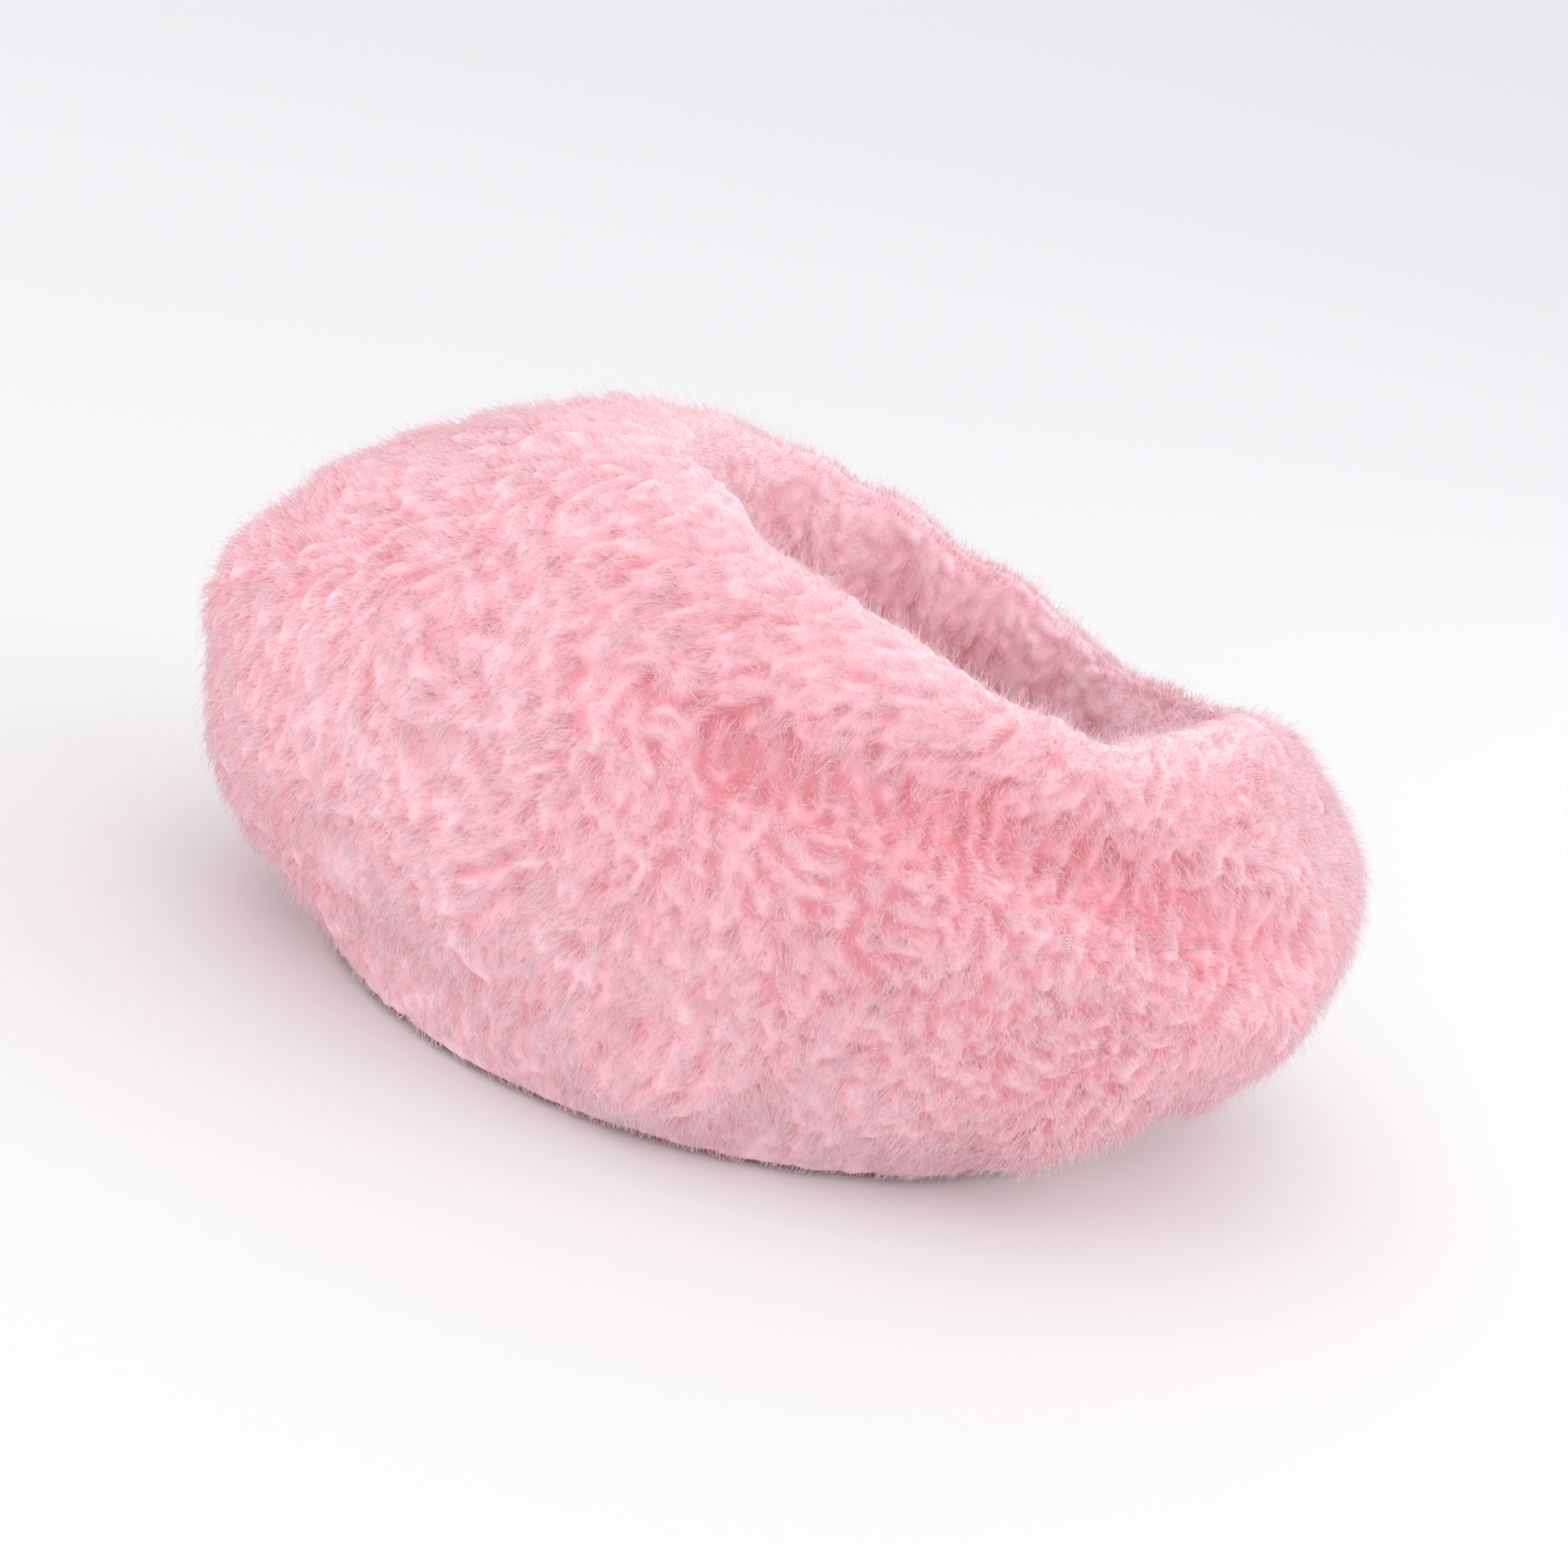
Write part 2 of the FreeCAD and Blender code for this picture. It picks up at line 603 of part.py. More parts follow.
def cushion_profile(depth):
    """Oval rings of the cushion's skin, moved inwards by a depth, from its underside to its crown."""
    long_half = dim("cushion_long") - depth
    wide_half = dim("cushion_wide") - depth
    seam = dim("cushion_seam")
    thick = dim("cushion_thick")
    bottom = dim("floor_level") + dim("fit_gap")
    return {
        "under": (0.84 * long_half, 0.80 * wide_half, bottom),
        "turn": (0.96 * long_half, 0.95 * wide_half, bottom + 0.32 * seam),
        "seam": (long_half, wide_half, bottom + seam),
        "side": (0.965 * long_half, 0.945 * wide_half, bottom + seam + 0.42 * (thick - seam)),
        "slope": (0.80 * long_half, 0.75 * wide_half, bottom + seam + 0.80 * (thick - seam)),
        "crown": (0.42 * long_half, 0.38 * wide_half, bottom + thick),
    }


def cushion_ring(depth, name, sink=0.0):
    long_half, wide_half, height = cushion_profile(depth)[name]
    return [ellipse_point(a, long_half, wide_half, dim("crest_shift")) + Vector(0, 0, height + sink)
            for a in angles()]


def cushion_top():
    depth = dim("cushion_pile")
    names = ["seam", "side", "slope", "crown"]
    lift = 0.15
    outer = [cushion_ring(0, n, lift if n == "seam" else 0) for n in names]
    drops = {"seam": lift, "side": -2, "slope": -0.8 * depth, "crown": -depth}
    inner = [cushion_ring(depth, n, drops[n]) for n in names]
    return closed_solid(skin(outer) + flat(outer[-1]) + skin(inner) + flat(inner[-1])
                        + strip(outer[0], inner[0]))


def cushion_bottom():
    depth = dim("cushion_ply")
    names = ["under", "turn", "seam"]
    lift = -0.15
    outer = [cushion_ring(0, n, lift if n == "seam" else 0) for n in names]
    inner = [cushion_ring(depth, n, lift if n == "seam" else (depth if n == "under" else depth / 2))
             for n in names]
    return closed_solid(skin(outer) + flat(outer[0]) + skin(inner) + flat(inner[0])
                        + strip(outer[-1], inner[-1]))


def cushion_core():
    depth = dim("cushion_pile") + dim("fit_gap")
    lifts = {"under": dim("cushion_ply") + dim("fit_gap"), "turn": 1.2, "seam": 0, "side": -2.4,
             "slope": -0.8 * depth - 0.4, "crown": -depth - 0.2}
    rings = [cushion_ring(depth, n, lifts[n]) for n in lifts]
    return closed_solid(skin(rings) + flat(rings[0]) + flat(rings[-1]))


feature("cushion_cover_top", cushion_top())
feature("cushion_cover_bottom", cushion_bottom())
feature("cushion_filling", cushion_core())


def cushion_cord():
    off = dim("piping_radius") + dim("fit_gap")
    height = dim("floor_level") + dim("fit_gap") + dim("cushion_seam")
    long_half, wide_half = dim("cushion_long") + off, dim("cushion_wide") + off
    path = [ellipse_point(a, long_half, wide_half, dim("crest_shift")) + Vector(0, 0, height)
            for a in angles()]
    return round_cord(path, ellipse_outwards(long_half, wide_half), dim("piping_radius"))


feature("cushion_piping", cushion_cord())

# ---------------------------------------------------------------- check and write

doc.recompute()
for thing in doc.Objects:
    if "Invalid" in thing.State or "Error" in thing.State:
        raise RuntimeError("%s is in state %s" % (thing.Label, thing.State))
os.makedirs("parts", exist_ok=True)
for thing in subparts:
    shape = thing.Shape
    if shape.isNull() or not shape.isValid() or not shape.Solids:
        raise RuntimeError("%s has no valid shape" % thing.Label)
    print("%-22s solids %2d  volume %10.1f mm3" % (thing.Label, len(shape.Solids), shape.Volume))
for thing in subparts:
    thing.Shape.exportStep("parts/%s.step" % thing.Label)
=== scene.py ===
import json
import math
from types import SimpleNamespace

import bpy
import numpy as np
from mathutils import Matrix, Vector


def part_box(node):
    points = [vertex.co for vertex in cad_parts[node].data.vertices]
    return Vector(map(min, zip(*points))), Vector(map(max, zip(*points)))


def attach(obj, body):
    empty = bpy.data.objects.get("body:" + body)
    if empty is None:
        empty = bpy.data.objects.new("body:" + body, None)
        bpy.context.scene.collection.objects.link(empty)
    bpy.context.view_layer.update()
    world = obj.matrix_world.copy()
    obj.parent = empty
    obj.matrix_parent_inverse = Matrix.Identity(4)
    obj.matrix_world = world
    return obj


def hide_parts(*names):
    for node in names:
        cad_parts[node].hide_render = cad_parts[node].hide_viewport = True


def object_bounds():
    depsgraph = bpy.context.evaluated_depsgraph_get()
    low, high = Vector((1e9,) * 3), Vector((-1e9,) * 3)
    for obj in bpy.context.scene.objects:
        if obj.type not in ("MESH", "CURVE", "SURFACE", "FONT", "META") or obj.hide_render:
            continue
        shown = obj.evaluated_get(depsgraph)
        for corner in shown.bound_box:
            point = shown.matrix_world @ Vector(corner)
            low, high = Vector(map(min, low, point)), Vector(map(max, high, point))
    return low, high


# Looks of the oval shearling nest bed, built around the packed CAD frame. Sizes are named in mm and
# meshes are in metres. +X is the low end, +Y the rear, +Z up. The wool is geometry: skins with raised
# tufts, and fine fibres that lie along them. Nothing reads the camera.

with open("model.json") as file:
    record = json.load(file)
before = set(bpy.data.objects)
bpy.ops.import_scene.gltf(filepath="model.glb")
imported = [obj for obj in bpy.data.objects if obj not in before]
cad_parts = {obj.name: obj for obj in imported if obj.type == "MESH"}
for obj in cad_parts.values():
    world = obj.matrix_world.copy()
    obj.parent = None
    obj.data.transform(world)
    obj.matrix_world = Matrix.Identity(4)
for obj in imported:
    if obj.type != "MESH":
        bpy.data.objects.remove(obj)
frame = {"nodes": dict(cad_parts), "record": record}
CAD_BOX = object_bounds()
NODES = frame["nodes"]
MM = 0.001

# ---------------------------------------------------------------- sizes shared with part.py, in mm

BASE = (151, 130, -6, 0.0)
BELLY = (226, 151, 5.4, 0.022)
CREST = (115, 92, 49, 0.0)
NEST = (92, 62, 49, 0.0)
FLOOR_LEVEL = 45
SKIN_START = 6.3

# places on the skin's parameter, from 0 at the base edge over the rim to 1 at the nest floor
CREST_LINE = 0.635
OUTER_SEAM = 0.378
LIP_LINE = 0.72
INNER_SEAM = 0.804

ROWS = 361
COLUMNS = 720


def oval(angle, size):
    """Point of an oval: half length, half width, shift along X and how egg-shaped it is."""
    long_half, wide_half, shift, egg = size
    swell = 1 - egg * np.cos(3 * angle)
    return np.stack([shift + swell * long_half * np.cos(angle),
                     swell * wide_half * np.sin(angle)], -1)


def rim_height(angle):
    """Height of the rim's top line: high at -X, low at +X, with a shallow entry at the rear right."""
    entry = 9 * np.exp(-((np.degrees(angle) - 52) / 24) ** 2)
    tilt = 29 * np.cos(angle) + 7 * np.sin(angle)
    return 188 - tilt + 6 * np.cos(2 * angle) + 3 * np.cos(3 * angle) - entry


def natural_spline(knots, values, where):
    """Natural cubic spline through one value per knot, read at each place."""
    count = len(knots)
    gap = np.diff(knots)
    system = np.eye(count)
    right = np.zeros_like(values)
    for i in range(1, count - 1):
        system[i, i - 1:i + 2] = gap[i - 1], 2 * (gap[i - 1] + gap[i]), gap[i]
        right[i] = 6 * ((values[i + 1] - values[i]) / gap[i] - (values[i] - values[i - 1]) / gap[i - 1])
    bend = np.tensordot(np.linalg.inv(system), right, 1)
    i = np.clip(np.searchsorted(knots, where) - 1, 0, count - 2)
    step = gap[i][:, None, None]
    a = (knots[i + 1][:, None, None] - where[:, None, None]) / step
    b = 1 - a
    curve = (a ** 3 - a) * bend[i] + (b ** 3 - b) * bend[i + 1]
    return a * values[i] + b * values[i + 1] + curve * step ** 2 / 6


def plain_skin(angle, where):
    """The stuffed body's skin as part.py draws it, a grid of points over height lines and angles."""
    base, belly, crest, nest = (oval(angle, s) for s in (BASE, BELLY, CREST, NEST))
    top = rim_height(angle)
    middle = 0.505 * top

    def at(place, height):
        return np.concatenate([place, np.broadcast_to(height, angle.shape)[:, None]], -1)

    lines = np.stack([
        at(base, SKIN_START),
        at(base + 0.70 * (belly - base), 0.31 * middle),
        at(belly, middle),
        at(crest + 0.66 * (belly - crest), middle + 0.724 * (top - middle)),
        at(crest, top),
        at(nest + 0.62 * (crest - nest), FLOOR_LEVEL + 0.78 * (top - FLOOR_LEVEL)),
        at(nest + 0.20 * (crest - nest), FLOOR_LEVEL + 0.25 * (top - FLOOR_LEVEL)),
        at(nest, FLOOR_LEVEL),
    ])
    lengths = np.linalg.norm(np.diff(lines, axis=0), axis=-1).mean(1)
    knots = np.concatenate([[0.0], np.cumsum(lengths)]) / lengths.sum()
    return natural_spline(knots, lines, where) * MM


def unit(vectors):
    return vectors / np.maximum(np.linalg.norm(vectors, axis=-1, keepdims=True), 1e-12)


def normals_of(points):
    """Outward normals of a grid that closes round its columns."""
    along = np.roll(points, -1, 1) - np.roll(points, 1, 1)
    up = np.gradient(points, axis=0)
    cross = np.cross(along, up)
    return cross / np.linalg.norm(cross, axis=-1, keepdims=True)


def waves(points, size, seed, count=14):
    """Smooth seeded noise of about -1 to 1, a sum of plane waves of one size."""
    draw = np.random.default_rng(seed)
    spin = draw.normal(size=(count, 3))
    spin /= np.linalg.norm(spin, axis=1, keepdims=True)
    spin *= 2 * math.pi / (size * draw.uniform(0.7, 1.5, (count, 1)))
    phase = draw.uniform(0, 2 * math.pi, count)
    return np.sin(points @ spin.T + phase).sum(-1) / math.sqrt(count / 2) / 1.6


def near_line(points, chain):
    """Distance of each point to a chain of straight pieces."""
    best = np.full(points.shape[:-1], 9.0)
    for start, end in zip(chain, chain[1:]):
        run = end - start
        share = np.clip(((points - start) @ run) / (run @ run), 0, 1)
        best = np.minimum(best, np.linalg.norm(points - start - share[..., None] * run, axis=-1))
    return best


def travel_of(grid):
    """Mean distance along a grid, from its first row to each row."""
    climb = np.linalg.norm(np.diff(grid, axis=0), axis=-1).mean(1)
    return np.concatenate([[0], np.cumsum(climb)])


def arc_of(ring):
    """Distance round a closed ring of points, from the first point to each and back to it."""
    steps = np.linalg.norm(np.roll(ring, -1, 0) - ring, axis=1)
    return np.concatenate([[0], np.cumsum(steps)])


def bell(distance, width):
    return np.exp(-(distance / width) ** 2)


ANGLES = np.linspace(-math.pi, math.pi, COLUMNS, endpoint=False)
LEVELS = np.linspace(0, 1, ROWS)


def grid_place(degrees, level):
    """Row and column of the skin's grid, as real numbers."""
    column = (np.radians(degrees) + math.pi) / (2 * math.pi) * COLUMNS
    return np.asarray(level) * (ROWS - 1), column % COLUMNS


def read_grid(grid, row, column):
    """Bilinear reading of a grid that closes round its columns."""
    low_row = np.clip(np.floor(row).astype(int), 0, ROWS - 2)
    low_column = np.floor(column).astype(int) % COLUMNS
    next_column = (low_column + 1) % COLUMNS
    a = (row - low_row)[..., None]
    b = (column - np.floor(column))[..., None]
    first = grid[low_row, low_column] * (1 - b) + grid[low_row, next_column] * b
    last = grid[low_row + 1, low_column] * (1 - b) + grid[low_row + 1, next_column] * b
    return first * (1 - a) + last * a


# ---------------------------------------------------------------- sculpted skin
# Listed features, each a chain of (angle in degrees, level), with its depth and width in mm.

FOLDS = [
    (((-100, 0.432), (-91.5, 0.438), (-75.5, 0.468), (-61, 0.448), (-45, 0.403), (-30, 0.37)), 10, 17),
    (((-127, 0.34), (-123, 0.318), (-114.5, 0.230), (-107, 0.03)), 7, 15),
    (((-127, 0.30), (-126, 0.275)), 7, 10),
    (((-55, 0.60), (-48, 0.57)), 6, 24),
    (((-165, 0.43), (-140, 0.42), (-118, 0.43)), 3, 16),
    (((150, 0.40), (110, 0.39), (70, 0.40), (30, 0.38)), 6, 17),
]
SWELLS = [
    (((-87, 0.33), (-70, 0.34)), 4, 40),
    (((-98, 0.55), (-80, 0.56)), 3, 34),
    (((-141, 0.13), (-128, 0.06)), -11, 34),
    (((-156, 0.30), (-150, 0.24)), 4, 28),
    (((-122, 0.05), (-95, 0.05)), 7, 28),
    (((-30, 0.12), (-12, 0.20)), -11, 42),
    (((-22, 0.32), (0, 0.36)), 4, 30),
    (((-20, 0.58), (28, 0.60)), -4, 36),
    (((30, 0.62), (52, 0.63)), -6, 32),
    (((-178, 0.30), (172, 0.30)), 9, 24),
    (((-50, 0.665), (-36, 0.66), (-18, 0.665)), 9, 20),
    (((-75, 0.53), (-45, 0.50), (-30, 0.47)), 5, 22),
    (((-70, 0.36), (-45, 0.31), (-30, 0.28)), 5, 24),
    (((-52, 0.70), (-36, 0.69), (-18, 0.69), (-2, 0.71)), 17, 24),
    (((-22, 0.80), (0, 0.80), (20, 0.79)), 8, 24),
]


def soften(grid):
    """One pass of smoothing over a grid that closes round its columns."""
    beside = (np.roll(grid, 1, 1) + np.roll(grid, -1, 1) + 2 * grid) / 4
    padded = np.concatenate([beside[:1], beside, beside[-1:]])
    return (padded[:-2] + padded[2:] + 2 * padded[1:-1]) / 4


HEM_LEVEL = 0.085
HEM_PUSH = 4.0
HEM_DROP = 5.0
DEEPEST_FOLD = 10.0
NORMAL_SMOOTHING = 5


def sculpted_skin():
    plain = plain_skin(ANGLES, LEVELS)
    normals = normals_of(plain)
    push = np.zeros((ROWS, COLUMNS))
    for features, sign in ((FOLDS, -1), (SWELLS, 1)):
        for chain, depth, width in features:
            places = [read_grid(plain, *grid_place(np.array(a), np.array(v))) for a, v in chain]
            push += sign * depth * MM * bell(near_line(plain, places), width * MM)
    push = np.maximum(push, -DEEPEST_FOLD * MM)
    lumps = 1.6 * waves(plain, 0.055, 11) + 0.8 * waves(plain, 0.028, 12)
    fade = np.clip(LEVELS / 0.06, 0, 1) * np.clip((1 - LEVELS) / 0.10, 0, 1)
    points = plain + normals * ((push + lumps * MM) * fade[:, None])[..., None]
    hem = (1 - np.clip(LEVELS / HEM_LEVEL, 0, 1))[:, None] ** 2
    outward = unit((plain - np.array([BASE[2] * MM, 0, 0])) * np.array([1, 1, 0]))
    points += (outward * HEM_PUSH - np.array([0, 0, HEM_DROP])) * MM * hem[..., None]
    return points, normals_of(points)


SKIN, OUT = sculpted_skin()
for smoothing in range(NORMAL_SMOOTHING):
    OUT = unit(soften(OUT))
PLAIN = plain_skin(ANGLES, LEVELS)
PLAIN_OUT = normals_of(PLAIN)


# ---------------------------------------------------------------- materials

def new_material(name, roughness=0.9, sheen=0.0, sheen_tint=(1, 1, 1)):
    """Material with its nodes, links and shader at hand."""
    material = bpy.data.materials.new(name)
    material.use_nodes = True
    tree = material.node_tree
    shader = tree.nodes["Principled BSDF"]
    shader.inputs["Roughness"].default_value = roughness
    shader.inputs["Specular IOR Level"].default_value = 0.25
    shader.inputs["Sheen Weight"].default_value = sheen
    shader.inputs["Sheen Roughness"].default_value = 0.45
    shader.inputs["Sheen Tint"].default_value = (*sheen_tint, 1)
    return SimpleNamespace(material=material, nodes=tree.nodes, links=tree.links, shader=shader)


def add_texture(look, kind, scale, stretch=(1, 1, 1), turn=(0, 0, 0)):
    """Procedural texture in the object's own metres; stretch and turn change its grain."""
    place = look.nodes.new("ShaderNodeTexCoord")
    shape = look.nodes.new("ShaderNodeMapping")
    shape.inputs["Scale"].default_value = stretch
    shape.inputs["Rotation"].default_value = turn
    look.links.new(place.outputs["Object"], shape.inputs["Vector"])
    texture = look.nodes.new(kind)
    texture.inputs["Scale"].default_value = scale
    look.links.new(shape.outputs["Vector"], texture.inputs["Vector"])
    return texture


def add_math(look, operation, *sources):
    """Math node fed by other nodes' outputs or by plain numbers."""
    node = look.nodes.new("ShaderNodeMath")
    node.operation = operation
    for socket, source in zip(node.inputs, sources):
        if isinstance(source, float):
            socket.default_value = source
        else:
            look.links.new(source, socket)
    return node.outputs[0]


def colour_by(look, source, stops):
    """Base colour from a ramp of places and colours over a value."""
    ramp = look.nodes.new("ShaderNodeValToRGB")
    elements = ramp.color_ramp.elements
    while len(elements) < len(stops):
        elements.new(0.5)
    for element, (place, colour) in zip(elements, stops):
        element.position = place
        element.color = (*colour, 1)
    look.links.new(source, ramp.inputs["Fac"])
    look.links.new(ramp.outputs["Color"], look.shader.inputs["Base Color"])


def add_bump(look, source, strength, distance):
    bump = look.nodes.new("ShaderNodeBump")
    bump.inputs["Strength"].default_value = strength
    bump.inputs["Distance"].default_value = distance
    look.links.new(source, bump.inputs["Height"])
    look.links.new(bump.outputs["Normal"], look.shader.inputs["Normal"])


def scaled(colour, share):
    return tuple(c * share for c in colour)


def fleece(name, stops):
    """Soft wool whose colour follows the tone stored at each point: deep in the partings as painted shade,
    pale on top as painted light.
    """
    look = new_material(name, 0.95, 0.6, WOOL_SHEEN)
    tone = look.nodes.new("ShaderNodeAttribute")
    tone.attribute_name = TONE
    mottle = add_texture(look, "ShaderNodeTexNoise", 420)
    mottle.inputs["Detail"].default_value = 4
    colour_by(look, add_math(look, "MULTIPLY_ADD", mottle.outputs["Fac"], 0.22, tone.outputs["Fac"]), stops)
    look.shader.inputs["Subsurface Weight"].default_value = 0.35
    look.shader.inputs["Subsurface Radius"].default_value = (1.0, 0.42, 0.45)
    look.shader.inputs["Subsurface Scale"].default_value = 0.003
    fibres = add_texture(look, "ShaderNodeTexNoise", 1500)
    fibres.inputs["Detail"].default_value = 3
    add_bump(look, fibres.outputs["Fac"], 0.45, 0.0004)
    return look.material


def woven(name, colour, threads, roughness=0.88, sheen=0.25, relief=0.35, turn=0.0):
    """Plain weave: two sets of threads, with a slow change of tone across the cloth."""
    look = new_material(name, roughness, sheen)
    sets = []
    for swing in (turn, turn + math.pi / 2):
        wave = add_texture(look, "ShaderNodeTexWave", threads, (1, 1, 0.2), (0, 0, swing))
        wave.inputs["Distortion"].default_value = 0.6
        wave.inputs["Detail"].default_value = 1
        sets.append(wave.outputs["Fac"])
    cross = add_math(look, "MULTIPLY", *sets)
    tone = add_texture(look, "ShaderNodeTexNoise", 35)
    colour_by(look, add_math(look, "MULTIPLY_ADD", cross, 0.5, tone.outputs["Fac"]),
              [(0.30, scaled(colour, 0.62)), (0.62, colour), (0.95, scaled(colour, 1.18))])
    add_bump(look, cross, relief, 0.0003)
    return look.material


def herringbone(name, colour, threads):
    """Tape with slanting ribs that turn back on themselves."""
    look = new_material(name, 0.82, 0.3)
    ribs = add_texture(look, "ShaderNodeTexWave", threads, (1, 1, 1), (0.4, 0.5, 0.7))
    ribs.inputs["Distortion"].default_value = 2.5
    ribs.inputs["Detail Scale"].default_value = 4
    colour_by(look, ribs.outputs["Fac"], [(0.1, scaled(colour, 0.6)), (0.8, colour)])
    add_bump(look, ribs.outputs["Fac"], 0.5, 0.0004)
    return look.material


def porous(name, colour, cells, deep=0.55):
    """Foam, felt or loose fibre: soft cells, their pits painted darker as shade."""
    look = new_material(name, 0.95, 0.1)
    cell = add_texture(look, "ShaderNodeTexVoronoi", cells)
    noise = add_texture(look, "ShaderNodeTexNoise", cells / 4)
    colour_by(look, add_math(look, "ADD", cell.outputs["Distance"], noise.outputs["Fac"]),
              [(0.4, scaled(colour, deep)), (1.0, colour)])
    add_bump(look, cell.outputs["Distance"], 0.5, 0.0006)
    return look.material


def worn_hard(name, colour, metal, roughness, grain, stretch=(1, 1, 1)):
    """Metal or plastic with fine directional wear."""
    look = new_material(name, roughness)
    look.shader.inputs["Metallic"].default_value = metal
    look.shader.inputs["Specular IOR Level"].default_value = 0.5
    noise = add_texture(look, "ShaderNodeTexNoise", grain, stretch)
    noise.inputs["Detail"].default_value = 6
    colour_by(look, noise.outputs["Fac"], [(0.3, scaled(colour, 0.75)), (0.7, colour)])
    add_bump(look, noise.outputs["Fac"], 0.12, 0.0001)
    return look.material


PINK_CREVICE_SHADE = (0.82, 0.31, 0.36)
PINK_DEEP = (0.89, 0.44, 0.49)
PINK_MIDDLE = (0.94, 0.59, 0.645)
PINK_TIP = (0.95, 0.70, 0.745)
PINK_PALE = (0.94, 0.77, 0.81)
WOOL_SHEEN = (1, 0.86, 0.9)
TONE = "wool_tone"
TONES = 5
DEPTHS = 3


def mix(first, last, share):
    return tuple(a + (b - a) * share for a, b in zip(first, last))


def wool_materials():
    """One material for each tone of lock and each third of a strand, from the hide to the tip. The third at
    the hide is deeper and the tip paler, painted shade and light along the strand; the lock tones carry the
    painted light and shade of the locks' paleness.
    """
    made = []
    depth_colours = [mix(PINK_DEEP, PINK_MIDDLE, 0.75), PINK_MIDDLE, PINK_TIP]
    for tone in range(TONES):
        for depth in range(DEPTHS):
            colour = depth_colours[depth]
            if tone < 2:
                colour = mix(colour, PINK_DEEP, 0.22 - 0.11 * tone)
            if tone > 2:
                colour = mix(colour, PINK_PALE, 0.25 * (tone - 2))
            look = new_material("wool_%d_%d" % (tone, depth), 0.85, 0.5, WOOL_SHEEN)
            look.shader.inputs["Base Color"].default_value = (*colour, 1)
            made.append(look.material)
    return made


WOOL = wool_materials()
# The ramp runs from the painted shade of the crevices up to the palest painted highlight.
FLEECE = fleece("fleece", [(0.10, PINK_CREVICE_SHADE), (0.42, mix(PINK_DEEP, PINK_MIDDLE, 0.6)),
                           (0.78, mix(PINK_MIDDLE, PINK_TIP, 0.65)), (1.0, PINK_PALE)])
SLOT_LOOKS = {
    "calico": woven("calico", (0.80, 0.74, 0.62), 260),
    "fibre_fill": porous("fibre_fill", (0.92, 0.92, 0.90), 220, 0.75),
    "foam": porous("foam", (0.88, 0.83, 0.62), 700),
    "felt": porous("felt", (0.58, 0.55, 0.53), 1200),
    "base_cloth": woven("base_cloth", (0.46, 0.20, 0.235), 210, 0.85, 0.2, 0.5),
    "cushion_cloth": woven("cushion_cloth", (0.72, 0.36, 0.41), 300, 0.9, 0.5, 0.4, 0.78),
    "binding": herringbone("binding", (0.50, 0.19, 0.235), 420),
    "thread": herringbone("thread", (0.62, 0.25, 0.31), 1400),
    "zip_tape": woven("zip_tape", (0.52, 0.22, 0.265), 520, 0.8, 0.2, 0.5),
    "zip_teeth": worn_hard("zip_teeth", (0.60, 0.26, 0.31), 0, 0.38, 600),
    "zip_metal": worn_hard("zip_metal", (0.70, 0.69, 0.68), 1, 0.30, 500, (1, 12, 1)),
    "label": woven("label", (0.90, 0.88, 0.84), 700, 0.45, 0.3, 0.3),
    "shearling": FLEECE,
}
GRIP = worn_hard("grip_rubber", (0.30, 0.135, 0.155), 0, 0.6, 900)


for row in frame["record"]["subparts"]:
    mesh = NODES[row["node"]].data
    mesh.materials.clear()
    mesh.materials.append(SLOT_LOOKS[row["material_slot"]])


# ---------------------------------------------------------------- mesh helpers

def new_piece(name, points, faces, material, slot, body="bed", replaced=()):
    """Mesh piece from points and faces of one size, riding on a body."""
    mesh = bpy.data.meshes.new(name)
    sides = faces.shape[1]
    mesh.vertices.add(len(points))
    mesh.vertices.foreach_set("co", np.ascontiguousarray(points, np.float32).ravel())
    mesh.loops.add(faces.size)
    mesh.loops.foreach_set("vertex_index", np.ascontiguousarray(faces, np.int32).ravel())
    mesh.polygons.add(len(faces))
    mesh.polygons.foreach_set("loop_start", np.arange(0, faces.size, sides, dtype=np.int32))
    mesh.polygons.foreach_set("use_smooth", np.full(len(faces), True))
    for one in material if isinstance(material, list) else [material]:
        mesh.materials.append(one)
    mesh.update(calc_edges=True)
    piece = bpy.data.objects.new(name, mesh)
    bpy.context.scene.collection.objects.link(piece)
    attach(piece, body)
    if replaced:
        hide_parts(*replaced)
    return piece


def ring_faces(rows, columns, first=0, flip=False):
    """Quads between rows of a grid that closes round its columns."""
    row, column = np.meshgrid(np.arange(rows - 1), np.arange(columns), indexing="ij")
    after = (column + 1) % columns
    quads = np.stack([row * columns + column, row * columns + after,
                      (row + 1) * columns + after, (row + 1) * columns + column], -1)
    quads = quads.reshape(-1, 4) + first
    return quads[:, ::-1] if flip else quads


def oval_cap(columns, first, flip):
    """Triangles that close the innermost row of a round grid with its first point as the hub."""
    fan = np.array([(first, first + i, first + i + 1) for i in range(1, columns - 1)])
    return fan[:, ::-1] if flip else fan


def capped_rings(rows, columns, flip=False):
    """Triangles of a closed body made of rings, with a fan over its first and last ring."""
    quads = ring_faces(rows, columns, flip=flip)
    return np.concatenate([quads[:, [0, 1, 2]], quads[:, [0, 2, 3]], oval_cap(columns, 0, not flip),
                           oval_cap(columns, (rows - 1) * columns, flip)])


def closed_tube(name, sections, material, slot, **rest):
    """Solid swept round a closed path: sections is (points of the profile, places on the path, 3)."""
    profile, places = sections.shape[:2]
    wrapped = np.concatenate([sections, sections[:1]])
    faces = ring_faces(profile + 1, places) % (profile * places)
    return new_piece(name, wrapped[:-1].reshape(-1, 3), faces, material, slot, **rest)


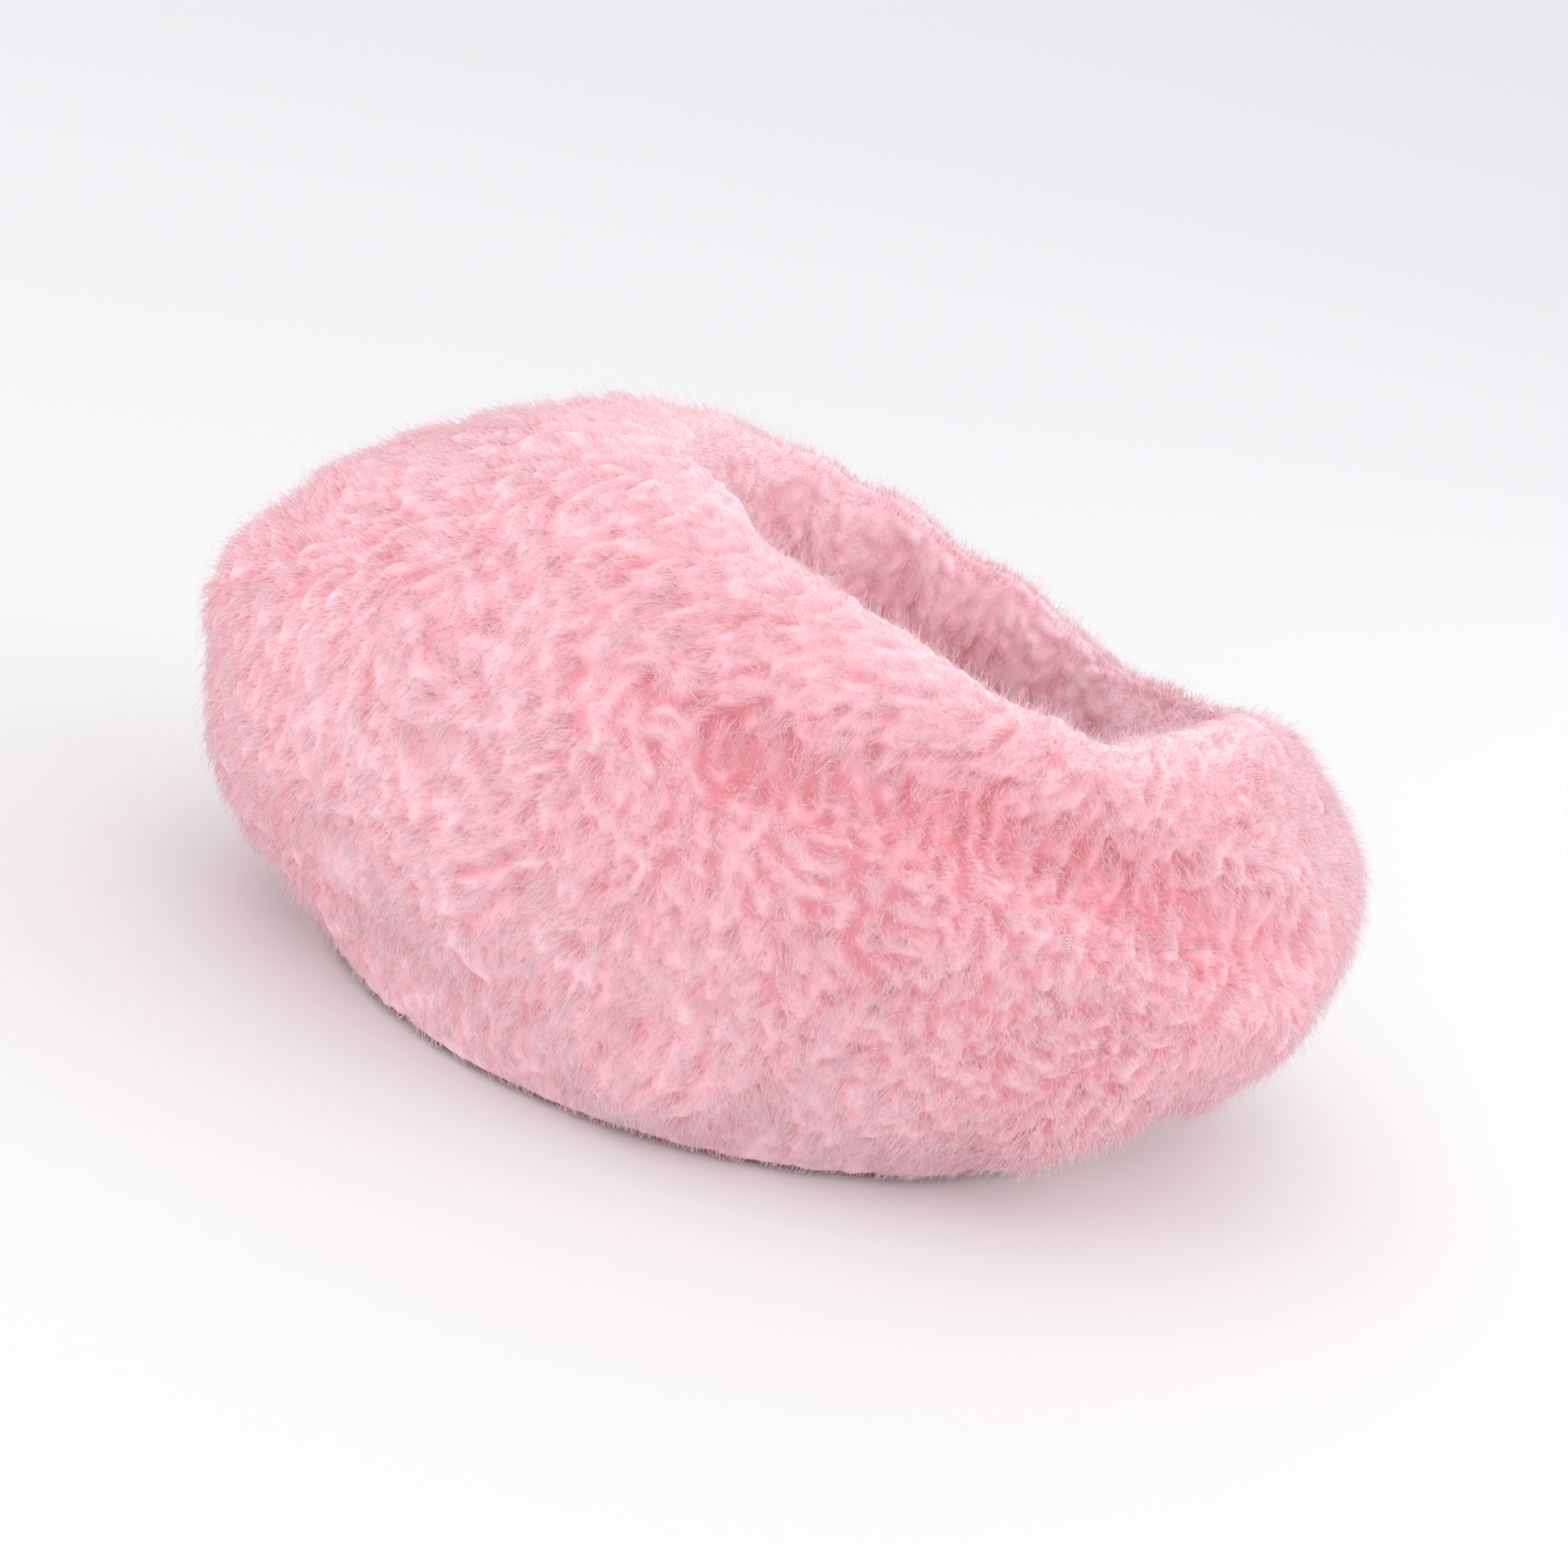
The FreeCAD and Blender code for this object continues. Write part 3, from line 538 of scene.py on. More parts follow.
def wool_rows(first, last, spacing, seed):
    """Angles and levels of lock roots, evenly spread over the skin with a jitter."""
    draw = np.random.default_rng(seed)
    travel = travel_of(SKIN)
    start, end = np.interp([first, last], LEVELS, travel)
    places, levels = [], []
    for distance in np.arange(start + spacing / 2, end, spacing * 0.9):
        level = np.interp(distance, travel, LEVELS)
        ring = SKIN[int(round(level * (ROWS - 1)))]
        arc = arc_of(ring)
        count = int(arc[-1] / spacing)
        along = (np.arange(count) + draw.uniform() + draw.uniform(-0.38, 0.38, count)) / count * arc[-1]
        column = np.interp(along % arc[-1], arc, np.arange(COLUMNS + 1))
        moved = np.interp(distance + draw.uniform(-0.4, 0.4, count) * spacing, travel, LEVELS)
        places.append(column)
        levels.append(np.clip(moved, first, last))
    return np.concatenate(places), np.concatenate(levels)


WHORLS = ((-113, 0.448, 1.0, 26), (-128, 0.375, -1.0, 22), (-40, 0.50, 0.8, 30), (60, 0.50, -0.8, 30))
POPCORN = ((-100, 0.405), (-85, 0.40), (-70, 0.42), (-55, 0.40))
CURLY_LOW = ((-75, 0.27), (-55, 0.25))
ROOT_DEPTH = 6.0
# Patches painted paler where the bed faces the side and front lights: painted light.
LIT_PATCHES = ((-128, 0.20, 50), (-12, 0.45, 45), (-100, 0.10, 35), (-165, 0.52, 50), (-95, 0.60, 30))
LOWEST_WOOL = 0.6
CREST_WIDTH = 0.075


def chain_places(chain):
    return [read_grid(SKIN, *grid_place(np.array(angle), np.array(level))) for angle, level in chain]


def wool_field(column, level):
    """Roots and styling of the locks that grow at these places of the skin."""
    row = level * (ROWS - 1)
    surface = read_grid(SKIN, row, column)
    out = unit(read_grid(OUT, row, column))
    ahead = read_grid(SKIN, np.minimum(row + 1.5, ROWS - 1), column)
    behind = read_grid(SKIN, np.maximum(row - 1.5, 0), column)
    down = -unit(ahead - behind)
    parting = np.tanh((CREST_LINE + 0.015 - level) / 0.05)
    nap = down * parting[:, None]
    across = np.cross(out, nap)
    twist = 0.55 * waves(surface, 0.11, 31) + 0.40 * waves(surface, 0.035, 32)
    nap = nap * np.cos(twist)[:, None] + across * np.sin(twist)[:, None]
    for degrees, height, sense, width in WHORLS:
        centre = read_grid(SKIN, *grid_place(np.array(degrees), np.array(height)))
        away = surface - centre
        pull = bell(np.linalg.norm(away, axis=1), width * MM)[:, None]
        nap = nap * (1 - 0.75 * pull) + np.cross(out, unit(away)) * sense * pull
    nap = unit(nap - out * (nap * out).sum(1, keepdims=True))
    chains = [chain_places(chain) for chain in (POPCORN, CURLY_LOW)]
    curly = bell(near_line(surface, chains[0]), 0.042) + 0.8 * bell(near_line(surface, chains[1]), 0.045)
    curly = np.minimum(curly, 1)
    crest = bell(level - CREST_LINE, CREST_WIDTH)
    # Painted shade: the wool is coloured deeper along the main fold, where shade falls in the crease.
    crease_shade = bell(near_line(surface, chain_places(FOLDS[0][0])), 0.015)
    lean = np.radians(68 * np.clip(np.abs(parting), 0.25, 1) - 30 * curly
                      + 10 * waves(surface, 0.05, 33))
    lean = np.clip(lean, 0.15, 1.25)
    high = ROOT_DEPTH + 0.2 + 0.8 * waves(surface, 0.024, 34) - 0.5 * crest
    curl = 1.0 + 1.0 * curly - 0.5 * crest
    clump = 0.45 + 0.12 * curly - 0.30 * crest
    # Paleness of the locks: a painted highlight along the crest, painted light on the lit patches, painted
    # shade along the crease, a random change of tone, and a little deeper in the curly zones.
    pale = 0.5 * crest + 0.30 * waves(surface, 0.09, 35) + 0.22 * waves(surface, 0.02, 36)
    pale -= 0.12 * curly + 0.7 * crease_shade
    for degrees, height, width in LIT_PATCHES:
        away = surface - read_grid(SKIN, *grid_place(np.array(degrees), np.array(height)))
        pale += 0.8 * bell(np.linalg.norm(away, axis=1), width * MM)
    return SimpleNamespace(surface=surface, out=out, nap=nap, lean=lean, high=high * MM, curl=curl * MM,
                           clump=np.clip(clump, 0.2, 0.85), pale=pale, curly=curly, crest=crest,
                           crease_shade=crease_shade)


TUFT_SPACING = 7.6
TUFT_TOP = 1.5
TUFT_HIGH = 6.0
FINE_ROWS = 400
FULL_COLUMNS = 1020
FINE_COLUMNS = FULL_COLUMNS
TUFT_SEED = 41
STREAK = 2.5
DEEPEST = 14.0
LINING_FOOT = 0.955
FLEECE_DEPTH = 15.8


def fine_levels():
    """Levels of the fine grid, evenly spaced over the skin."""
    travel = travel_of(SKIN)
    start, end = np.interp([0.004, 0.998], LEVELS, travel)
    return np.interp(np.linspace(start, end, FINE_ROWS), travel, LEVELS)


FINE = fine_levels()
TUFTS = wool_rows(0.0, 0.985, TUFT_SPACING * MM, TUFT_SEED)
TUFT_LOOK = wool_field(*TUFTS)


def tuft_size(look, seed):
    """Length, half width, height share and sideways bend of each tuft."""
    draw = np.random.default_rng(seed)
    count = len(look.surface)
    length = (17 - 8.5 * look.curly - 6.5 * look.crest + draw.normal(size=count) * 2.2) * MM
    half = (4.3 - 1.1 * look.curly - 0.4 * look.crest + draw.normal(size=count) * 0.5) * MM
    tall = draw.uniform(0.62, 1.0, count)
    bend = draw.normal(size=count) * (9 + 22 * look.curly)
    return np.maximum(length, 6.5 * MM), np.maximum(half, 2.4 * MM), tall, bend


def tuft_profile(run, across, length, half, bend, phase):
    """Height share of a drop that lies along the nap, with fine streaks from its root to its tip."""
    place = run / length
    across = across - bend * run ** 2
    taper = half * (1 - 0.40 * np.clip(place, 0, 1) ** 2)
    round_off = np.clip(1 - (across / taper) ** 2, 0, 1) ** 0.6
    rise = np.clip((place + 0.35) / 0.6, 0, 1)
    fall = np.clip(1 - np.clip((place - 0.5) / 0.5, 0, 2) ** 2, 0, 1) ** 0.6
    streak = 1 + 0.09 * np.cos(2 * math.pi * across / (STREAK * MM) + phase)
    return rise ** 1.3 * (0.62 + 0.38 * np.clip(place, 0, 1)) * fall * round_off * streak


def tufted_height(points):
    """Share of the full tuft height at each point of the fine grid, from overlapping drops."""
    look = TUFT_LOOK
    length, half, tall, bend = tuft_size(look, TUFT_SEED + 1)
    draw = np.random.default_rng(TUFT_SEED + 2)
    phase = draw.uniform(0, 2 * math.pi, len(length))
    side = np.cross(look.out, look.nap)
    centre_row = np.round(np.interp(TUFTS[1], FINE, np.arange(FINE_ROWS))).astype(int)
    centre_column = np.round(TUFTS[0] / COLUMNS * FINE_COLUMNS).astype(int)
    height = np.zeros(points.shape[:2])
    reach = 20 * FINE_COLUMNS // FULL_COLUMNS
    for row_step in range(-reach, reach + 1):
        row = centre_row + row_step
        inside = (row >= 0) & (row < FINE_ROWS)
        row = np.clip(row, 0, FINE_ROWS - 1)
        for column_step in range(-reach, reach + 1):
            column = (centre_column + column_step) % FINE_COLUMNS
            away = points[row, column] - look.surface
            value = tall * tuft_profile((away * look.nap).sum(1), (away * side).sum(1), length, half, bend,
                                        phase)
            np.maximum.at(height, (row[inside], column[inside]), value[inside])
    return np.clip(height, 0, 1)


def tufted_skin():
    """Outer face of the fleece on the fine grid, and its tone."""
    row, column = np.meshgrid(FINE * (ROWS - 1), np.arange(FINE_COLUMNS) * COLUMNS / FINE_COLUMNS,
                              indexing="ij")
    surface = read_grid(SKIN, row, column)
    out = unit(read_grid(OUT, row, column))
    height = soften(soften(tufted_height(surface)))
    crest = bell(FINE - CREST_LINE, CREST_WIDTH)[:, None]
    hem = (1 - np.clip(FINE / HEM_LEVEL, 0, 1))[:, None]
    deep = TUFT_TOP + TUFT_HIGH * (1 - 0.65 * crest) * (1 - height) - 0.35 * waves(surface, 0.008, 21)
    folded = ((read_grid(PLAIN, row, column) - surface) * read_grid(PLAIN_OUT, row, column)).sum(-1) / MM
    foot = np.clip((FINE - LINING_FOOT) / 0.025, 0, 1)[:, None]
    deep = np.minimum(deep * (1 - 0.55 * hem) * (1 - foot), np.maximum(DEEPEST - folded, 0.5))
    points = surface - out * (deep * MM)[..., None]
    points[..., 2] = np.maximum(points[..., 2], LOWEST_WOOL * MM)
    look = wool_field(column.ravel(), (row / (ROWS - 1)).ravel())
    pale = look.pale.reshape(height.shape)
    crease_shade = look.crease_shade.reshape(height.shape)
    # Tone: painted shade in the gaps between tufts and along the crease, painted light on the tuft tops and a
    # painted highlight along the crest, plus the locks' paleness.
    tone = 0.10 + 0.50 * height * (1 - 0.5 * crest) + 0.17 * pale + 0.26 * crest - 0.10 * crease_shade
    return row, column, points, np.clip(tone, 0, 1)


FLEECE_ROW, FLEECE_COLUMN, FLEECE_POINTS, FLEECE_TONE = tufted_skin()


def sharpen_rings(mesh, columns, rings):
    """Marks rings as sharp, so that the edge of one layer shades like the edge of the next."""
    ends = np.empty(2 * len(mesh.edges), np.int32)
    mesh.edges.foreach_get("vertices", ends)
    ring = ends.reshape(-1, 2) // columns
    sharp = (ring[:, 0] == ring[:, 1]) & np.isin(ring[:, 0], rings)
    mesh.edges.foreach_set("use_edge_sharp", sharp)
    mesh.update()


def set_tone(piece, tone):
    """Store the wool tone of every point of a piece."""
    layer = piece.data.attributes.new(TONE, "FLOAT", "POINT")
    layer.data.foreach_set("value", tone.astype(np.float32))


def fleece_layer(name, first, last, replaced):
    """Closed layer of tufted wool between two levels, with its inner face on the plain skin."""
    start, end = np.searchsorted(FINE, [first, last])
    rows = slice(start, min(end + 1, FINE_ROWS))
    outside = FLEECE_POINTS[rows]
    few = np.linspace(0, len(outside) - 1, 24).round().astype(int)
    row = FLEECE_ROW[rows][few]
    column = FLEECE_COLUMN[rows][few]
    inside = read_grid(PLAIN, row, column) - read_grid(PLAIN_OUT, row, column) * FLEECE_DEPTH * MM
    piece = closed_tube(name, np.concatenate([outside, inside[::-1]]), FLEECE, "shearling", replaced=replaced)
    tone = np.concatenate([FLEECE_TONE[rows].ravel(), np.zeros(inside.shape[0] * inside.shape[1])])
    sharpen_rings(piece.data, FINE_COLUMNS, (0, len(outside) - 1))
    set_tone(piece, tone)


fleece_layer("wall_skin", 0.0, OUTER_SEAM, ["wall_cover"])
fleece_layer("rim_skin", OUTER_SEAM, INNER_SEAM, ["rim_cover"])
fleece_layer("lining_skin", INNER_SEAM, 1.0, ["nest_lining"])


# ---------------------------------------------------------------- wool
# A lock is a bundle of strands. Its middle line rises from the hide, bends over along the nap and
# curls; its strands start apart and draw together towards the tip.

RING_SHARES = np.array([0.0, 0.38, 0.72, 1.0])
RING_RADII = np.array([0.27, 0.27, 0.20, 0.0]) * MM
STRANDS_IN_PIECE = 12400


def strand_faces():
    """Triangles of one closed strand: three sides, a cap at the hide and a point at the tip."""
    open_rings = len(RING_SHARES) - 1
    tip = 3 * open_rings
    faces = [(2, 1, 0)]
    bands = [0]
    for ring in range(open_rings):
        for side in range(3):
            a = 3 * ring + side
            b = 3 * ring + (side + 1) % 3
            if ring == open_rings - 1:
                faces.append((a, b, tip))
            else:
                faces += [(a, b, b + 3), (a, b + 3, a + 3)]
        bands += [ring] * (len(faces) - len(bands))
    return np.array(faces), np.array(bands)


STRAND_FACES, STRAND_BANDS = strand_faces()


def strand_points(middle, side, turn, thin):
    """Three-sided tapered tubes round the middle lines (strands, rings, 3)."""
    run = unit(np.gradient(middle, axis=1))
    first = unit(np.cross(run, side[:, None, :] + 0.01))
    second = np.cross(run, first)
    corners = []
    for corner in range(3):
        swing = (turn + corner * 2 * math.pi / 3)[:, None, None]
        spoke = first * np.cos(swing) + second * np.sin(swing)
        corners.append(middle + spoke * (RING_RADII[None, :, None] * thin[:, None, None]))
    tubes = np.stack(corners, 2).reshape(len(middle), -1, 3)
    return tubes[:, :3 * (len(RING_SHARES) - 1) + 1]


def add_wool(name, middle, side, turn, thin, tone, body):
    """Pieces of wool with no more than STRANDS_IN_PIECE strands each, cut in the order given.

    Light passes through real wool, so the fibres cast no shadow."""
    points = strand_points(middle, side, turn, thin)
    parts = max(1, math.ceil(len(points) / STRANDS_IN_PIECE))
    for part, share in enumerate(np.array_split(np.arange(len(points)), parts)):
        corners = points.shape[1]
        faces = (STRAND_FACES[None] + np.arange(len(share))[:, None, None] * corners).reshape(-1, 3)
        piece = new_piece("%s_%02d" % (name, part + 1), points[share].reshape(-1, 3), faces, WOOL,
                          "shearling", body)
        piece.visible_shadow = False
        slots = tone[share][:, None] * DEPTHS + STRAND_BANDS[None]
        piece.data.polygons.foreach_set("material_index", slots.astype(np.int32).ravel())
        piece.data.update()


def grow(name, root, out, nap, lean, high, curl, clump, count, spread, tone, body, seed):
    """Locks from their roots: per-lock arrays of place, normal, nap, lean, height, curl and clumping."""
    draw = np.random.default_rng(seed)
    locks = len(root)
    side = np.cross(out, nap)
    share = RING_SHARES[None, :]
    angle = lean[:, None] * share ** 0.75
    step = np.diff(RING_SHARES, prepend=0)[None, :]
    rise = np.cumsum(np.cos(angle) * step, 1)
    reach = np.cumsum(np.sin(angle) * step, 1)
    stretch = (high / rise[:, -1])[:, None]
    rise *= stretch
    reach *= np.minimum(stretch, 2.3 * high[:, None])
    phase = draw.uniform(0, 2 * math.pi, locks)[:, None]
    winding = phase + share * draw.uniform(3.5, 7.0, locks)[:, None]
    sway = curl[:, None] * share
    middle = (root[:, None] + out[:, None] * rise[..., None]
              + nap[:, None] * (reach + sway * np.cos(winding))[..., None]
              + side[:, None] * (sway * np.sin(winding))[..., None])
    lock = np.repeat(np.arange(locks), count)
    total = len(lock)
    radius = spread * np.sqrt(draw.uniform(0, 1, total))
    around = draw.uniform(0, 2 * math.pi, total)
    offset = (nap[lock] * (radius * np.cos(around))[:, None]
              + side[lock] * (radius * np.sin(around))[:, None])
    gather = 1 - clump[lock][:, None] * share ** 1.1
    stray = draw.normal(size=(total, len(RING_SHARES), 3)) * (0.55 * MM * share)[..., None]
    shorter = draw.uniform(0.78, 1.05, total)[:, None, None]
    upright = draw.uniform(-0.25, 0.35, total)[:, None, None] * share[..., None] ** 2
    line = middle[lock]
    line = line[:, :1] + (line - line[:, :1]) * shorter + offset[:, None] * gather[..., None] + stray
    line -= nap[lock][:, None] * upright * reach[lock][:, -1:, None]
    line[..., 2] = np.maximum(line[..., 2], LOWEST_WOOL * MM)
    add_wool(name, line, side[lock], draw.uniform(0, 2 * math.pi, total),
             draw.uniform(0.42, 0.70, total), tone[lock], body)


# Lock tone from the paleness, which holds painted highlight, light and shade as well as a random change of
# tone.
def tone_of(pale, seed):
    draw = np.random.default_rng(seed)
    value = 2 + 1.7 * pale + draw.normal(size=len(pale)) * 0.75
    return np.clip(np.round(value), 0, TONES - 1).astype(int)


def wool_zone(name, first, last, count, seed):
    """Fine fibres that lie along the tufts of one zone."""
    zone = np.where((TUFTS[1] >= first) & (TUFTS[1] < last))[0]
    zone = zone[np.argsort(TUFTS[0][zone])]
    look = SimpleNamespace(**{key: value[zone] for key, value in vars(TUFT_LOOK).items()})
    root = look.surface - look.out * ROOT_DEPTH * MM
    grow(name, root, look.out, look.nap, look.lean, look.high, look.curl, look.clump, count,
         TUFT_SPACING * 0.75 * MM, tone_of(look.pale, seed + 1), "bed", seed + 2)


DENSITY = 1.0
wool_zone("wool_wall", 0.0, OUTER_SEAM, int(16 * DENSITY) + 1, 41)
wool_zone("wool_rim", OUTER_SEAM, LIP_LINE, int(17 * DENSITY) + 1, 51)
wool_zone("wool_lip", LIP_LINE, INNER_SEAM, int(14 * DENSITY) + 1, 61)
wool_zone("wool_lining", INNER_SEAM, 1.0, int(9 * DENSITY) + 1, 71)


def flyaways(name, first, last, spacing, seed):
    """Single fine pale fibres that stand a little out of the wool."""
    column, level = wool_rows(first, last, spacing * MM, seed)
    order = np.argsort(column)
    column, level = column[order], level[order]
    look = wool_field(column, level)
    surface, out, nap, lean = look.surface, look.out, look.nap, look.lean
    draw = np.random.default_rng(seed + 1)
    count = len(surface)
    root = surface - out * 5 * MM
    twist = draw.uniform(-1.0, 1.0, count)
    turned = nap * np.cos(twist)[:, None] + np.cross(out, nap) * np.sin(twist)[:, None]
    share = RING_SHARES[None, :]
    angle = (lean * draw.uniform(0.5, 1.1, count))[:, None] * share
    length = draw.uniform(9, 14, count)[:, None] * MM
    step = np.diff(RING_SHARES, prepend=0)[None, :]
    rise = np.cumsum(np.cos(angle) * step, 1) * length
    reach = np.cumsum(np.sin(angle) * step, 1) * length
    rise = np.minimum(rise, 8.0 * MM)
    line = root[:, None] + out[:, None] * rise[..., None] + turned[:, None] * reach[..., None]
    line += draw.normal(size=line.shape) * (0.7 * MM * share)[..., None]
    line[..., 2] = np.maximum(line[..., 2], LOWEST_WOOL * MM)
    add_wool(name, line, np.cross(out, nap), draw.uniform(0, 6, count), np.full(count, 0.34),
             np.full(count, TONES - 1), "bed")


flyaways("wool_flyaway", 0.03, 0.80, 4.3, 81)


# ---------------------------------------------------------------- loose cushion

CUSHION_DEEP = 0.5
CUSHION_SPACING = 6.2
CUSHION_PUCKERS = 24
CORD_OUT = 1.5
SWELL_PRESSURE = 4.0
SWELL_FRAMES = 20
CUSHION = dict(long=84, wide=54, thick=38, seam=16, bottom=FLOOR_LEVEL + 0.3, shift=49)


def cushion_grid(rows, columns, depth=0.0):
    """Crowned oval cushion from the middle of its underside over the seam to the middle of its top."""
    share = np.linspace(0, 1, rows)
    swing = (share - 0.36) / np.where(share < 0.36, 0.36, 0.64) * math.pi / 2
    out = np.cos(swing) ** 0.62
    above = np.abs(np.sin(swing)) ** 1.25
    height = np.where(swing < 0, CUSHION["seam"] * (1 - above),
                      CUSHION["seam"] + (CUSHION["thick"] - CUSHION["seam"] - depth) * above)
    angle = np.linspace(0, 2 * math.pi, columns, endpoint=False)
    x = CUSHION["shift"] + out[:, None] * (CUSHION["long"] - depth) * np.cos(angle)
    y = out[:, None] * (CUSHION["wide"] - depth) * np.sin(angle)
    z = np.broadcast_to((CUSHION["bottom"] + height)[:, None], x.shape)
    return np.stack([x, y, z], -1) * MM


def simulate(piece, voxel, most):
    """Swell a closed piece with Blender's cloth, no point moving more than the cap, and keep the result."""
    remesh = piece.modifiers.new("voxels", "REMESH")
    remesh.voxel_size = voxel
    remesh.use_smooth_shade = True
    keep_evaluated(piece)
    rest = np.zeros(len(piece.data.vertices) * 3, np.float32)
    piece.data.vertices.foreach_get("co", rest)
    cloth = piece.modifiers.new("swell", "CLOTH")
    cloth.settings.use_pressure = True
    cloth.settings.uniform_pressure_force = SWELL_PRESSURE
    cloth.settings.effector_weights.gravity = 0
    cloth.settings.quality = 5
    scene = bpy.context.scene
    for number in range(1, SWELL_FRAMES + 1):
        scene.frame_set(number)
    keep_evaluated(piece)
    moved = np.zeros_like(rest)
    piece.data.vertices.foreach_get("co", moved)
    shift = (moved - rest).reshape(-1, 3)
    size = np.linalg.norm(shift, axis=1, keepdims=True)
    shift *= np.minimum(1, most / np.maximum(size, 1e-9))
    final = rest.reshape(-1, 3) + shift
    piece.data.vertices.foreach_set("co", final.astype(np.float32).ravel())
    piece.data.update()
    scene.frame_set(1)


def keep_evaluated(piece):
    """Apply a piece's modifiers to its mesh."""
    graph = bpy.context.evaluated_depsgraph_get()
    mesh = bpy.data.meshes.new_from_object(piece.evaluated_get(graph))
    piece.modifiers.clear()
    piece.data = mesh


def cushion_shell(name, rings, slot, replaced):
    """Closed padded piece of the cushion from a grid of rings."""
    piece = new_piece(name, rings.reshape(-1, 3), capped_rings(*rings.shape[:2]), SLOT_LOOKS[slot], slot,
                      "cushion", replaced)
    return piece


def cushion_base():
    """Cloth body under the seam, puckered along the seam and swelled by the cloth simulation."""
    columns = 192
    lower = cushion_grid(56, columns)[:21]
    inner = lower.copy()
    middle = np.array([CUSHION["shift"] * MM, 0, (CUSHION["bottom"] + CUSHION["seam"]) * MM])
    inner[..., :2] = middle[:2] + (lower[..., :2] - middle[:2]) * 0.975
    inner[..., 2] = np.minimum(lower[..., 2] + 1.4 * MM, middle[2])
    pucker = 0.6 * MM * np.cos(np.arange(columns) * 2 * math.pi * CUSHION_PUCKERS / columns)
    lower[-4:-1, :, :2] += (lower[-4:-1, :, :2] - middle[:2]) * (pucker[None, :, None] / 0.07)
    bottom = cushion_shell("cushion_base_cloth", np.concatenate([lower, inner[::-1]]), "cushion_cloth",
                           ["cushion_cover_bottom"])
    simulate(bottom, 3.2 * MM, 1.2 * MM)


def cushion_tufts(face):
    """Places and styling of the tufts, evenly spread over the cushion's upper face."""
    draw = np.random.default_rng(91)
    normals = normals_of(face)
    travel = travel_of(face)
    rows, columns = [], []
    for distance in np.arange(2.0 * MM, travel[-1], CUSHION_SPACING * 0.9 * MM):
        row = int(np.searchsorted(travel, distance))
        around = np.linalg.norm(np.roll(face[row], -1, 0) - face[row], axis=1).sum()
        count = max(1, int(around / (CUSHION_SPACING * MM)))
        column = (np.arange(count) + draw.uniform() + draw.uniform(-0.4, 0.4, count)) / count
        rows.append(np.full(count, row))
        columns.append((column * face.shape[1]).astype(int) % face.shape[1])
    rows, columns = np.concatenate(rows), np.concatenate(columns)
    surface, out = face[rows, columns], normals[rows, columns]
    swing = 2.2 * waves(surface, 0.09, 92)
    nap = np.stack([np.cos(swing), np.sin(swing), np.full(len(swing), -0.2)], -1)
    nap = unit(nap - out * (nap * out).sum(1, keepdims=True))
    return SimpleNamespace(surface=surface, out=out, nap=nap, curly=np.full(len(surface), 0.35),
                           crest=np.zeros(len(surface)), pale=0.3 * waves(surface, 0.03, 95))


def cushion_top():
    """Tufted wool face of the cushion with fine fibres along its tufts."""
    face = cushion_grid(140, 480, CUSHION_DEEP)[50:]
    look = cushion_tufts(face[:-2])
    length, half, tall, bend = tuft_size(look, 98)
    side = np.cross(look.out, look.nap)
    height = np.zeros(face.shape[:2])
    for tuft in range(len(length)):
        away = face - look.surface[tuft]
        value = tall[tuft] * tuft_profile(away @ look.nap[tuft], away @ side[tuft], length[tuft], half[tuft],
                                          bend[tuft], tuft)
        value[np.abs(away @ look.out[tuft]) > 6 * MM] = 0
        np.maximum(height, value, out=height)
    height = soften(np.clip(height, 0, 1))
    under = face[::6].copy()
    under[..., 2] -= 3 * MM * np.linspace(0, 1, len(under))[:, None]
    edge = np.clip(np.arange(len(face)) / 5, 0, 1)[:, None]
    top = face - normals_of(face) * ((0.6 + 3.2 * (1 - height)) * edge * MM)[..., None]
    piece = cushion_shell("cushion_top_skin", np.concatenate([under[::-1], top]), "shearling",
                          ["cushion_cover_top"])
    # Painted shade and light: the tuft tops are paler and the gaps between them deeper.
    tone = 0.26 + 0.40 * height
    set_tone(piece, np.concatenate([np.zeros(under.shape[0] * under.shape[1]), tone.ravel()]))
    count = len(length)
    grow("wool_cushion", look.surface - look.out * 3.0 * MM, look.out, look.nap, np.full(count, 1.1),
         np.full(count, 4.4 * MM), np.full(count, 1.1 * MM), np.full(count, 0.45), int(18 * DENSITY) + 1,
         4.6 * MM, tone_of(look.pale, 96), "cushion", 97)


cushion_base()
cushion_top()


def oval_path(long_half, wide_half, shift, height, count):
    """Places along an oval, in metres, and its outward directions there."""
    angle = np.linspace(0, 2 * math.pi, count, endpoint=False)
    place = np.stack([shift + long_half * np.cos(angle), wide_half * np.sin(angle),
                      np.full(count, height)], -1) * MM
    away = unit(np.stack([np.cos(angle) / long_half, np.sin(angle) / wide_half, np.zeros(count)], -1))
    return place, away


def corded_edge():
    """Piping: a cord under bias-cut cloth that puckers a little along its length."""
    count, sides, puckers, radius = 900, 14, 150, 1.75 * MM
    place, away = oval_path(CUSHION["long"] + CORD_OUT, CUSHION["wide"] + CORD_OUT, CUSHION["shift"],
                            CUSHION["bottom"] + CUSHION["seam"], count)
    sections = []
    up = np.array([0, 0, 1.0])
    for turn in range(sides):
        swing = 2 * math.pi * turn / sides
        pucker = 1 + 0.05 * np.sin(np.arange(count) * 2 * math.pi * puckers / count + 2 * swing)
        spoke = away * math.cos(swing) + up * math.sin(swing)
        sections.append(place + spoke * (radius * pucker)[:, None])
    closed_tube("cushion_cord", np.array(sections), SLOT_LOOKS["cushion_cloth"], "cushion_cloth",
                body="cushion", replaced=["cushion_piping"])


corded_edge()


# ---------------------------------------------------------------- seams

